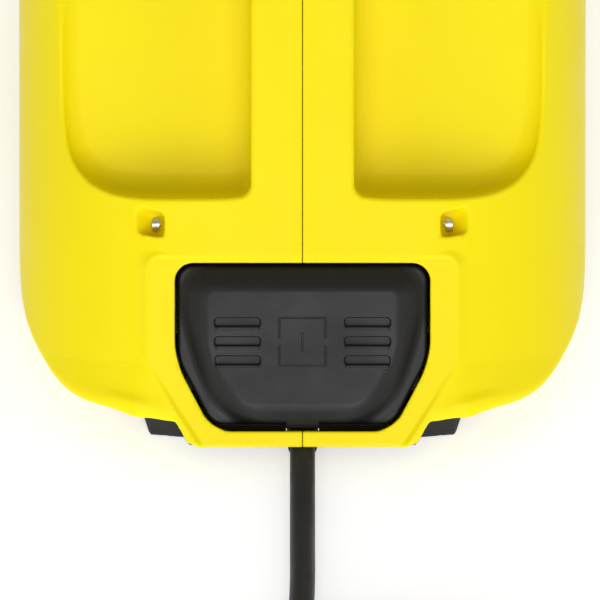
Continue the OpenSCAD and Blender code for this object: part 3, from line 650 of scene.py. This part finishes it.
def base_field(x, y, z):
    """The base plate, drawn in where the housing's edge is lifted, with a tray under the pedal."""
    wide = np.abs(x)
    inset = BASE_INSET + 11 * ease((wide - 42) / 8) * ease((-100 - y) / 40)
    plate = both(plan_field(x, y, LIP_Z) + inset, y - 74.4, 4)
    tray = TRAY_DROP * ease((54 - wide) / 3) * ease((-158 - y) / 3)
    plate = both(both(plate, z - BASE_TOP, 0.5), BASE_LOW - tray - z, 0.8)
    slots = both(np.abs((wide - 36) % 9 - 4.5) - 1.6, np.abs(y + 62) - 24, 1.5)
    slots = np.maximum(slots, np.abs(wide - 63) - 22)
    plate = less(plate, slots, 0.4)
    well = np.maximum(np.maximum(wide - 46, y + 164), TRAY_FLOOR - z)
    way = np.maximum(wide - 6.2 - 7.8 * ease((y + 192) / 30), y + 136)
    return np.maximum(plate, -np.minimum(well, way))


def radial(x, z, centre_z=SHAFT_Z):
    """Distance and angle about an axis along y."""
    return np.hypot(x, z - centre_z), np.arctan2(x, z - centre_z)


def across_spoke(angle, r, number):
    """Distance from the nearest of evenly spaced spokes."""
    step = 2 * math.pi / number
    return np.abs(((angle / step + 0.5) % 1 - 0.5) * step) * r


def cover_field(x, y, z):
    """The front cover: a plate with a groove, louvres, a tab and a rim round the casing."""
    wide = np.abs(x)
    body = both(both(wide - COVER_HALF, z - RIM_Z, EDGE_R), SKIRT_Z - z, 3)
    outline = either(body, both(wide - SPINE_HALF - 0.6, z - 250.6, 6), 8)
    plate = both(both(outline, y - COVER_FRONT, 1.8), FRONT_Y - y, 0.3)
    plate = less(plate, np.maximum(np.abs(outline + 6) - 0.9, 79.1 - y), 0.5)
    louvre = both(np.abs(wide - 94) - 5.2, np.abs((z - 30) % 8 - 4) - 1.5, 1.4)
    louvre = np.maximum(np.maximum(louvre, np.abs(z - 94) - 64), 78.4 - y)
    plate = less(plate, louvre, 0.6)
    r, _ = radial(x, z)
    rim = both(r - 84, y - 81.4, 1.2)
    plate = either(plate, np.maximum(np.maximum(rim, 81.5 - r), FRONT_Y + 0.5 - y), 1)
    return less(plate, r - 50, 0.6)


def casing_field(x, y, z):
    """The multi-stage casing: flange with screw bosses, ringed barrel, ribbed end and outlet neck."""
    r, angle = radial(x, z)
    flange = both(both(r - FLANGE_R, y - 86, 1.8), COVER_FRONT - y, 0.4)
    barrel = both(both(r - CASING_R, y - BARREL_END, 9), COVER_FRONT - y, 0.4)
    for k in range(4):
        barrel = less(barrel, np.hypot(r - 71.4, y - 95 - 12 * k) - 2.6, 0.9)
    end = both(np.maximum(across_spoke(angle, r, 12) - 1.3, 20 - r), y - 144.6, 1)
    end = both(end, r - 62 + (y - 140) * 0.8, 2)
    form = either(either(flange, barrel, 3), np.maximum(end, 130 - y), 1.5)
    form = either(form, both(both(r - 23, y - 145.6, 1.5), 130 - y, 1), 2)
    spoke = across_spoke(angle, r, 6)
    boss = both(np.hypot(spoke, r - SCREW_CIRCLE) - 7.6, y - 87.5, 1.2)
    form = either(form, np.maximum(boss, COVER_FRONT - y), 2)
    rib = both(across_spoke(angle + math.pi / 12, r, 12) - 1.2, r - 78.5 + (y - 84) * 0.35, 1)
    rib = both(rib, 84 - y, 1)
    form = either(form, np.maximum(np.maximum(rib, y - 108), 60 - r), 1.5)
    neck = both(both(np.hypot(x, y - OUTLET_Y) - 20, z - 207.8, 1.5), 150 - z, 1)
    band = both(np.hypot(x, y - OUTLET_Y) - 22, np.abs(z - 202) - 4, 1.5)
    gusset = both(np.abs(x) - 2, np.abs(y - OUTLET_Y) + z - 212, 2)
    gusset = np.maximum(np.maximum(gusset, np.abs(y - OUTLET_Y) - 28), 150 - z)
    form = either(either(form, neck, 6), np.minimum(band, gusset), 1.5)
    drain = both(np.hypot(x, z - DRAIN_Z) - 12.5, y - 147, 1.2)
    form = either(form, np.maximum(drain, 130 - y), 3)
    cavity = np.maximum(np.maximum(r - 64, y - 138), 79 - y)
    form = np.maximum(form, -cavity)
    form = np.maximum(form, -np.maximum(np.hypot(x, z - DRAIN_Z) - 7.1, 134 - y))
    bore = np.maximum(np.hypot(x, y - OUTLET_Y) - 14, 172 - z)
    return np.maximum(form, -bore)


def pot_field(x, y, z):
    """The filter pot: ribbed cup with a collar, a bridge to the casing and the suction boss."""
    r = np.hypot(x, y - POT_Y)
    angle = np.arctan2(x, y - POT_Y)
    cup = both(both(r - POT_R, z - POT_TOP, 0.8), POT_LOW - z, 12)
    rib = both(both(across_spoke(angle, r, 20) - 1.0, r - 33.4, 0.7), np.abs(z - 120) - 52, 4)
    cup = either(cup, rib, 1.0)
    cup = either(cup, both(r - 36, np.abs(z - 184) - 5, 1.5), 2)
    bridge = both(both(np.abs(x) - 20, np.abs(z - SHAFT_Z) - 20, 5), np.maximum(141 - y, y - 168), 0.5)
    cup = either(cup, bridge, 5)
    port = np.hypot(x, z - SUCTION_Z)
    boss = both(port - 20.5, y - 206, 1.2)
    ring = both(port - 22.5, np.abs(y - 204) - 3.2, 1.2)
    cup = either(cup, np.maximum(np.minimum(boss, ring), POT_Y - y), 4)
    cup = np.maximum(cup, -np.maximum(r - 28, 62 - z))
    return np.maximum(cup, -np.maximum(port - PORT_BORE, POT_Y - y))


def cap_field(x, y, z):
    """The filter cap: scalloped rim, dished top and a grip bar."""
    r = np.hypot(x, y - POT_Y)
    angle = np.arctan2(x, y - POT_Y)
    disc = both(r - 36.4 - 0.9 * np.cos(18 * angle), np.abs(z - 198.1) - 5, 1.6)
    disc = less(disc, both(r - 31, 200.2 - z, 2), 1)
    wide, deep = np.abs(x), np.abs(y - POT_Y)
    bar = both(both(wide - 30, deep - 4.2 - 0.02 * wide, 2.5), z - 211.5, 2.5)
    disc = either(disc, np.maximum(bar, 195 - z), 2.5)
    mark = both(deep - 1.2, np.abs(wide - 34) - 0.8, 0.4)
    disc = less(disc, np.maximum(mark, 202.4 - z), 0.3)
    plug = np.maximum(r - 27.7, np.maximum(z - 196, 178 - z))
    disc = np.minimum(disc, plug)
    return np.maximum(disc, -np.maximum(r - 23.5, np.maximum(177 - z, z - 196)))


def elbow_field(x, y, z):
    """The swivelling outlet: grip collar, bend and hexagon under the thread."""
    up = np.hypot(np.hypot(x, y - OUTLET_Y), z - np.clip(z, 208.5, ELBOW_Z)) - ELBOW_R
    out = np.hypot(np.hypot(x, z - ELBOW_Z), y - np.clip(y, OUTLET_Y, ELBOW_END)) - ELBOW_R
    form = either(up, out, 7)
    r = np.hypot(x, y - OUTLET_Y)
    angle = np.arctan2(x, y - OUTLET_Y)
    collar = both(r - 21.6 - 0.5 * np.cos(16 * angle), np.abs(z - 214.3) - 5.9, 1.4)
    form = either(form, collar, 1.2)
    port, turn = radial(x, z, ELBOW_Z)
    hexagon = port * np.cos((turn + math.pi / 6) % (math.pi / 3) - math.pi / 6) - 19.4
    nut = both(both(hexagon, port - 21.4, 1), np.abs(y - 138.9) - 3.2, 0.9)
    form = either(form, nut, 1)
    web = both(np.abs(x) - 1.8, (y - OUTLET_Y) + (ELBOW_Z - z) - 34, 3)
    form = either(form, np.maximum(np.maximum(web, OUTLET_Y - y), z - ELBOW_Z), 2)
    form = both(form, 208.4 - z, 0.5)
    form = np.minimum(form, np.maximum(r - 13.9, np.maximum(196 - z, z - 212)))
    bore = np.minimum(np.maximum(r - 10.5, z - ELBOW_Z), np.maximum(port - PORT_BORE, OUTLET_Y - y))
    return np.maximum(form, -bore)


def drain_field(x, y, z):
    """The drain plug: a knurled head with a slot, and its stem."""
    r, angle = radial(x, z, DRAIN_Z)
    head = both(r - 10.7 - 0.5 * np.cos(14 * angle), np.abs(y - 152) - 3.6, 1.1)
    stem = np.maximum(r - 7, np.maximum(138.3 - y, y - 150))
    slot = both(np.abs(z - DRAIN_Z) - 1.1, 152.6 - y, 0.3)
    return less(np.minimum(head, stem), slot, 0.5)


def pump_foot_field(x, y, z):
    """The foot under the casing, with pockets and screw clearances."""
    wide = np.abs(x)
    block = both(both(both(wide - 64, np.abs(y - 111) - 22.8, 3), 8 - z, 2), z - 46, 2)
    pocket = both(both(np.abs((wide - 4) % 12 - 6) - 4.4, np.abs(z - 27) - 14, 2), 126 - y, 1)
    block = less(block, np.maximum(pocket, wide - 63), 0.8)
    r, angle = radial(x, z)
    block = np.maximum(block, CASING_R - r)
    spoke = across_spoke(angle, r, 6)
    head = np.maximum(np.hypot(spoke, r - SCREW_CIRCLE) - 8.4, y - 96)
    return less(block, head, 0.5)


# ---- lead ----


def smooth_through(points, steps=4):
    """A Catmull-Rom line through given points."""
    p = np.array([points[0], *points, points[-1]], float)
    line = []
    for i in range(1, len(p) - 2):
        for k in range(steps):
            t = k / steps
            a, b, c, d = p[i - 1], p[i], p[i + 1], p[i + 2]
            line.append(0.5 * (2 * b + (c - a) * t + (2 * a - 5 * b + 4 * c - d) * t**2
                               + (3 * b - a - 3 * c + d) * t**3))
    return [*line, p[-2]]


def coil_points(step=9.0):
    """Two layers of turns: in on the floor, up, and out again on top."""
    outer, inner = COIL_RADII
    low, high = CORD_D / 2, CORD_D * 1.5
    points = []
    for turn in np.arange(0, COIL_TURN + 1, step):
        inward = ease((turn - 295) / 65) - ease((turn - 1015) / 65)
        r = outer + (inner - outer) * inward
        z = low + (high - low) * ease((turn - 650) / 75)
        a = math.radians(COIL_START + turn)
        points.append((COIL_CENTRE[0] + r * math.cos(a), COIL_CENTRE[1] + r * math.sin(a), z))
    return points


def at_plug(points):
    """Points along the plug's own axis, across it and up, in the CAD source's coordinates."""
    turn = Matrix.Rotation(PLUG_HEADING, 3, "Z") @ Matrix.Rotation(-PLUG_TILT, 3, "Y")
    return np.asarray(points, float) @ np.array(turn).T + TAIL_ROUTE[-1]


def along_y(y, z, x=0.0):
    """A lathe's placing: its axis along y."""
    return lambda p: np.stack([x + p[:, 2], y + p[:, 0], z + p[:, 1]], -1)


def thread_shape(start, end):
    """Radius of a helical pipe thread between two places along the axis."""
    def shape(angle, along, radius):
        phase = (along / THREAD_PITCH - angle / (2 * math.pi)) % 1
        ridge = np.clip(np.abs(phase - 0.5) * 3.2 - 0.3, 0, 1)
        fade = ease((along - start) / 2) * ease((end - along) / 2)
        cut = THREAD_DEPTH * (1 - (1 - ridge) * fade)
        return np.where(radius > THREAD_R - 2, radius - cut, radius)
    return shape


def spigot(name, y, z, length, bore):
    """A threaded pipe end, hollow right through."""
    rows = int(length / THREAD_PITCH * 10)
    outer = [(length * k / rows, THREAD_R) for k in range(rows + 1)]
    profile = [(-1.0, THREAD_R), *outer, (length + 0.8, THREAD_R - 0.6), (length + 1.0, THREAD_R - 2.1),
               (length + 1.0, bore + 0.8), (length + 0.6, bore), (-1.0, bore)]
    return lathe(name, profile, along_y(y, z), 72, thread_shape(1.5, length - 1.0))


# ---- settings and operators ----


class PumpColours(bpy.types.PropertyGroup):
    """Colours that a user may change"""
    shell_colour: bpy.props.FloatVectorProperty(
        name="Shell colour", description="Colour of the two housing shells", subtype="COLOR", size=3,
        default=(0.95, 0.79, 0.003), min=0, max=1)
    floor_colour: bpy.props.FloatVectorProperty(
        name="Floor colour", description="Colour of the studio floor", subtype="COLOR", size=3,
        default=(0.93, 0.93, 0.93), min=0, max=1)


class PumpSizes(bpy.types.PropertyGroup):
    """Mesh sizes and the seam"""
    shell_step: bpy.props.FloatProperty(
        name="Shell mesh", description="Mesh size of the housing shells", unit="LENGTH", default=1.3 * MM)
    pedal_step: bpy.props.FloatProperty(
        name="Pedal mesh", description="Mesh size of the foot pedal", unit="LENGTH", default=0.42 * MM)
    head_step: bpy.props.FloatProperty(
        name="Pump head mesh", description="Mesh size of the pump head's pieces", unit="LENGTH",
        default=1.0 * MM)
    seam: bpy.props.FloatProperty(
        name="Seam", description="Gap between the two housing shells", unit="LENGTH", default=0.3 * MM)


class PumpStage(bpy.types.PropertyGroup):
    """Camera and lights"""
    elevation: bpy.props.FloatProperty(
        name="Camera elevation", description="Height of the camera over the horizon", subtype="ANGLE",
        default=math.radians(45))
    distance: bpy.props.FloatProperty(
        name="Camera distance", description="From the camera to the pedal", unit="LENGTH", default=5.0)
    view_width: bpy.props.FloatProperty(
        name="View width", description="Width of the view at the pedal", unit="LENGTH", default=0.2264)
    key_power: bpy.props.FloatProperty(
        name="Key light", description="Power of the soft light on the pedal's side", unit="POWER",
        default=23.0)
    fill_power: bpy.props.FloatProperty(
        name="Side lights", description="Power of each of the three weaker lights", unit="POWER", default=1.8)
    surround: bpy.props.FloatProperty(
        name="Surround", description="Brightness of the studio round the pump", default=0.32, min=0)


# The view's middle: sideways in millimetres, and over the rear lip as a share of the view's width
CAMERA_X, AIM_RISE = -0.94, 0.2467


class PumpCamera(bpy.types.Operator):
    """Places the camera behind and above the foot pedal"""
    bl_idname = "pump.camera"
    bl_label = "Camera"

    def execute(self, context):
        stage = context.scene.pump_stage
        camera = bpy.data.objects.new("camera", bpy.data.cameras.new("camera"))
        camera.data.lens = camera.data.sensor_width * stage.distance / stage.view_width
        camera.data.clip_end = 20
        up = Vector((0, math.sin(stage.elevation), math.cos(stage.elevation)))
        ahead = Vector((0, math.cos(stage.elevation), -math.sin(stage.elevation)))
        lip = Vector(world((CAMERA_X, REAR_Y, SKIRT_Z)))
        aim = lip + up * AIM_RISE * stage.view_width
        camera.location = aim - ahead * stage.distance
        camera.rotation_euler = ahead.to_track_quat("-Z", "Y").to_euler()
        context.collection.objects.link(camera)
        context.scene.camera = camera
        return {"FINISHED"}


class PumpLead(bpy.types.Operator):
    """Lays the mains lead with its coil, tie, strain relief and plug"""
    bl_idname = "pump.lead"
    bl_label = "Mains lead"

    def execute(self, context):
        route = smooth_through(LEAD_ROUTE + coil_points()[:1])[:-1] + coil_points()
        route += smooth_through(coil_points()[-1:] + TAIL_ROUTE)[1:]
        curve = bpy.data.curves.new("lead", "CURVE")
        curve.dimensions = "3D"
        curve.bevel_depth = CORD_D / 2 * MM
        curve.bevel_resolution = 7
        line = curve.splines.new("POLY")
        line.points.add(len(route) - 1)
        for point, place in zip(line.points, world(route)):
            point.co = (*place, 1)
        line.use_smooth = True
        lead = bpy.data.objects.new("lead", curve)
        context.collection.objects.link(lead)
        finish_piece(lead, "pump", "lead_rubber", "power_cord", "cord_coil", "cord_tail")
        plug = self.plug()
        tie = self.tie()
        self.relief()
        return {"FINISHED"}

    def plug(self):
        """The moulded plug, with a ribbed neck, a grooved grip and flattened sides."""
        profile = [(0.4, 0), (0.4, 5.2), (1.2, 6.2)]
        for k in range(5):
            start, r = 3.0 + 3.6 * k, 6.6 + 0.35 * k
            profile += [(start, r), (start + 2.2, r + 0.3), (start + 2.5, r - 0.7), (start + 3.3, r - 0.7)]
        profile += [(22, 8.8), (24, 10.2), (26, 12.6), (28, 14.8), (31, 16.2), (35, 17.4), (38, 18.1)]
        for k in range(5):
            start = 39.2 + 3 * k
            profile += [(start, 18.4), (start + 0.8, 17.7), (start + 2, 17.7), (start + 2.8, 18.4)]
        profile += [(55.6, 18.5), (56.6, 18.1), (57, 17.4), (57, 14.5), (56.3, 14.0), (56.3, 0)]

        def waist(angle, along, radius):
            pinch = 1 - 0.09 * ease((along - 36) / 6) * np.abs(np.sin(angle)) ** 3
            return radius * pinch

        obj = lathe("plug", profile, at_plug, 72, waist)
        return finish_piece(obj, "pump", "plug_rubber", "mains_plug")

    def tie(self):
        """A band round the coil's four strands, its end lapped over."""
        half, corner, width, thick = CORD_D + 0.35, CORD_D / 2 + 0.35, 11.0, 1.0
        middle = sum(COIL_RADII) / 2
        loop = []
        for quarter in range(4):
            cx = (half - corner) * (1, -1, -1, 1)[quarter]
            cz = (half - corner) * (1, 1, -1, -1)[quarter]
            for k in range(9):
                a = math.radians(90 * quarter + 90 * k / 8)
                loop.append((cx, cz, math.cos(a), math.sin(a)))
        lap = len(loop) + 7
        vertices, faces = [], []
        rim = [(-0.5, 0.15), (-0.42, 0.0), (0.42, 0.0), (0.5, 0.15),
               (0.5, 0.85), (0.42, 1.0), (-0.42, 1.0), (-0.5, 0.85)]
        for i in range(lap):
            cx, cz, dx, dz = loop[i % len(loop)]
            lift = thick * 1.05 * ease((i - len(loop) + 5) / 5)
            for across, out in rim:
                r = corner + lift + out * thick
                a = TIE_ANGLE
                rad, side = middle + cx + dx * r, across * width
                x = COIL_CENTRE[0] + rad * math.cos(a) - side * math.sin(a)
                y = COIL_CENTRE[1] + rad * math.sin(a) + side * math.cos(a)
                vertices.append((x, y, max(cz + dz * r + CORD_D, 0.05 + out * 0.3)))
        n = len(rim)
        for i in range(lap - 1):
            for k in range(n):
                a, b = i * n + k, i * n + (k + 1) % n
                faces.append((a, a + n, b + n, b))
        faces.append(tuple(range(n)))
        faces.append(tuple((lap - 1) * n + k for k in range(n))[::-1])
        obj = new_object("lead_tie", world(vertices), faces)
        return finish_piece(obj, "pump", "soft_rubber", "cord_tie")

    def relief(self):
        """The ribbed sleeve where the lead leaves the housing."""
        profile = [(0.2, 4.9), (0, 5.2)]
        for k in range(7):
            start, r = 0.8 + 4.2 * k, 5.5 + 0.2 * k
            profile += [(start, r), (start + 2.6, r + 0.12), (start + 3, r - 0.8), (start + 3.8, r - 0.8)]
        profile += [(30.5, 7.0), (36, 7.0), (37, 7.9), (40, 7.9)]
        obj = lathe("strain_relief_sleeve", profile, along_y(*LEAD_ROUTE[0][1:]), 48)
        return finish_piece(obj, "pump", "soft_rubber", "strain_relief")


class PumpShells(bpy.types.Operator):
    """Models the left and right housing shells with scoops, handle, screw wells and bezel"""
    bl_idname = "pump.shells"
    bl_label = "Housing shells"

    def execute(self, context):
        sizes = context.scene.pump_sizes
        step, gap = sizes.shell_step / MM, sizes.seam / MM / 2
        for side, name in ((-1, "left"), (1, "right")):
            def half(x, y, z):
                return both(shell_field(x, y, z), gap - side * x, 0.35)
            low = (-111 if side < 0 else -2, -200, 11)
            high = (2 if side < 0 else 111, 78, 253)
            obj = solid(f"{name}_shell", half, low, high, step)
            finish_piece(obj, "pump", "yellow_shell", f"{name}_housing_shell")
        return {"FINISHED"}


class PumpPedal(bpy.types.Operator):
    """Models the soft-touch foot pedal with its grooves and on mark"""
    bl_idname = "pump.pedal"
    bl_label = "Foot pedal"

    def execute(self, context):
        step = context.scene.pump_sizes.pedal_step / MM
        obj = solid("pedal", pedal_field, (-49, 3, -14), (49, 70, 4), step, on_slope)
        finish_piece(obj, "pedal", "pedal_black", "foot_pedal")
        return {"FINISHED"}


class PumpBase(bpy.types.Operator):
    """Models the base plate and the rubber feet"""
    bl_idname = "pump.base"
    bl_label = "Base and feet"

    def execute(self, context):
        plate = solid("base", base_field, (-108, -196, 9), (108, 77, 20), 1.2)
        finish_piece(plate, "pump", "black_plastic", "base_plate")
        rear = solid("rear_feet", rear_foot_field, (-66, -182, -2), (66, -145, 19), 0.9)
        finish_piece(rear, "pump", "soft_rubber", "rubber_feet")
        front = solid("front_feet", front_foot_field, (-62, 92, -2), (62, 132, 10), 0.9)
        finish_piece(front, "pump", "soft_rubber")
        return {"FINISHED"}


HEAD_PIECES = (
    ("cover", "front_cover", "pump", cover_field, (-110, 73, 11), (110, 84, 252), 1.1),
    ("casing", "pump_casing", "pump", casing_field, (-84, 78, 11), (84, 150, 210), 1.1),
    ("casing_foot", "pump_foot", "pump", pump_foot_field, (-67, 86, 5), (67, 137, 49), 1.0),
    ("filter_pot", "filter_housing", "pump", pot_field, (-39, 139, 55), (39, 209, 193), 0.8),
    ("filter_lid", "filter_cap", "cap", cap_field, (-40, 134, 175), (40, 214, 214), 0.7),
    ("outlet_bend", "outlet_elbow", "outlet", elbow_field, (-24, 88, 194), (24, 145, 260), 0.7),
    ("drain_knob", "drain_plug", "drain", drain_field, (-13, 136, 25), (13, 157, 51), 0.5),
)


class PumpHead(bpy.types.Operator):
    """Models the front cover, the casing, the filter with its cap, the outlet and the drain plug"""
    bl_idname = "pump.head"
    bl_label = "Pump head"

    def execute(self, context):
        share = context.scene.pump_sizes.head_step / MM * 1
        for name, node, body, field, low, high, step in HEAD_PIECES:
            obj = solid(name, field, low, high, step * share)
            finish_piece(obj, body, "black_plastic", node)
        suction = spigot("suction_thread", 207, SUCTION_Z, SPIGOT_LENGTH, PORT_BORE)
        finish_piece(suction, "pump", "black_plastic")
        outlet = spigot("outlet_thread", 141, ELBOW_Z, SPIGOT_LENGTH, PORT_BORE)
        finish_piece(outlet, "outlet", "black_plastic")
        return {"FINISHED"}


class PumpFinishes(bpy.types.Operator):
    """Gives every remaining CAD part its finish"""
    bl_idname = "pump.finishes"
    bl_label = "Finishes"

    def execute(self, context):
        for part in frame["record"]["subparts"]:
            mesh = frame["nodes"][part["node"]].data
            mesh.materials.clear()
            mesh.materials.append(material(part["material_slot"]))
        return {"FINISHED"}


# Studio, in metres: half the floor's side, and each light's name, place, size and power setting
FLOOR_HALF = 4.0
LAMPS = (
    ("key", (0.0, -1.9, 0.65), 1.3, "key_power"),
    ("left", (-1.2, -0.7, 0.6), 0.6, "fill_power"),
    ("right", (1.2, -0.7, 0.6), 0.6, "fill_power"),
    ("front", (0.4, 1.3, 1.0), 0.8, "fill_power"),
)


class PumpStudio(bpy.types.Operator):
    """Adds the pale floor and the soft studio light"""
    bl_idname = "pump.studio"
    bl_label = "Studio"

    def execute(self, context):
        stage, colours = context.scene.pump_stage, context.scene.pump_colours
        corners = [(x * FLOOR_HALF, y * FLOOR_HALF, 0) for x, y in ((-1, -1), (1, -1), (1, 1), (-1, 1))]
        floor = new_object("floor", corners, [(0, 1, 2, 3)])
        floor.data.materials.append(floor_finish("floor", (*colours.floor_colour, 1)))
        studio = bpy.data.worlds.new("studio")
        studio.use_nodes = True
        studio.node_tree.nodes["Background"].inputs["Color"].default_value = (1, 1, 1, 1)
        studio.node_tree.nodes["Background"].inputs["Strength"].default_value = stage.surround
        context.scene.world = studio
        for name, place, size, power in LAMPS:
            self.softbox(name, place, size, getattr(stage, power))
        context.scene.view_settings.view_transform = "Standard"
        return {"FINISHED"}

    def softbox(self, name, place, size, power):
        light = bpy.data.lights.new(name, "AREA")
        light.size, light.energy = size, power
        obj = bpy.data.objects.new(name, light)
        obj.location = place
        obj.rotation_euler = (Vector((0, -0.1, 0.08)) - Vector(place)).to_track_quat("-Z", "Y").to_euler()
        bpy.context.collection.objects.link(obj)


OPERATORS = (PumpCamera, PumpLead, PumpShells, PumpPedal, PumpBase, PumpHead, PumpFinishes, PumpStudio)
SETTINGS = {"pump_colours": PumpColours, "pump_sizes": PumpSizes, "pump_stage": PumpStage}


class VIEW3D_PT_pump(bpy.types.Panel):
    """Lists the steps and the settings of the pump"""
    bl_label = "Garden pump"
    bl_space_type = "VIEW_3D"
    bl_region_type = "UI"
    bl_category = "Pump"

    def draw(self, context):
        for operator in OPERATORS:
            self.layout.operator(operator.bl_idname)
        for name, group in SETTINGS.items():
            for setting in group.__annotations__:
                self.layout.prop(getattr(context.scene, name), setting)


def register():
    for cls in (*SETTINGS.values(), *OPERATORS, VIEW3D_PT_pump):
        bpy.utils.register_class(cls)
    for name, group in SETTINGS.items():
        setattr(bpy.types.Scene, name, bpy.props.PointerProperty(type=group))


def unregister():
    for name in SETTINGS:
        delattr(bpy.types.Scene, name)
    for cls in (VIEW3D_PT_pump, *reversed(OPERATORS), *reversed(SETTINGS.values())):
        bpy.utils.unregister_class(cls)


def main():
    register()
    for operator in OPERATORS:
        family, step = operator.bl_idname.split(".")
        getattr(getattr(bpy.ops, family), step)()


if __name__ == "__main__":
    main()
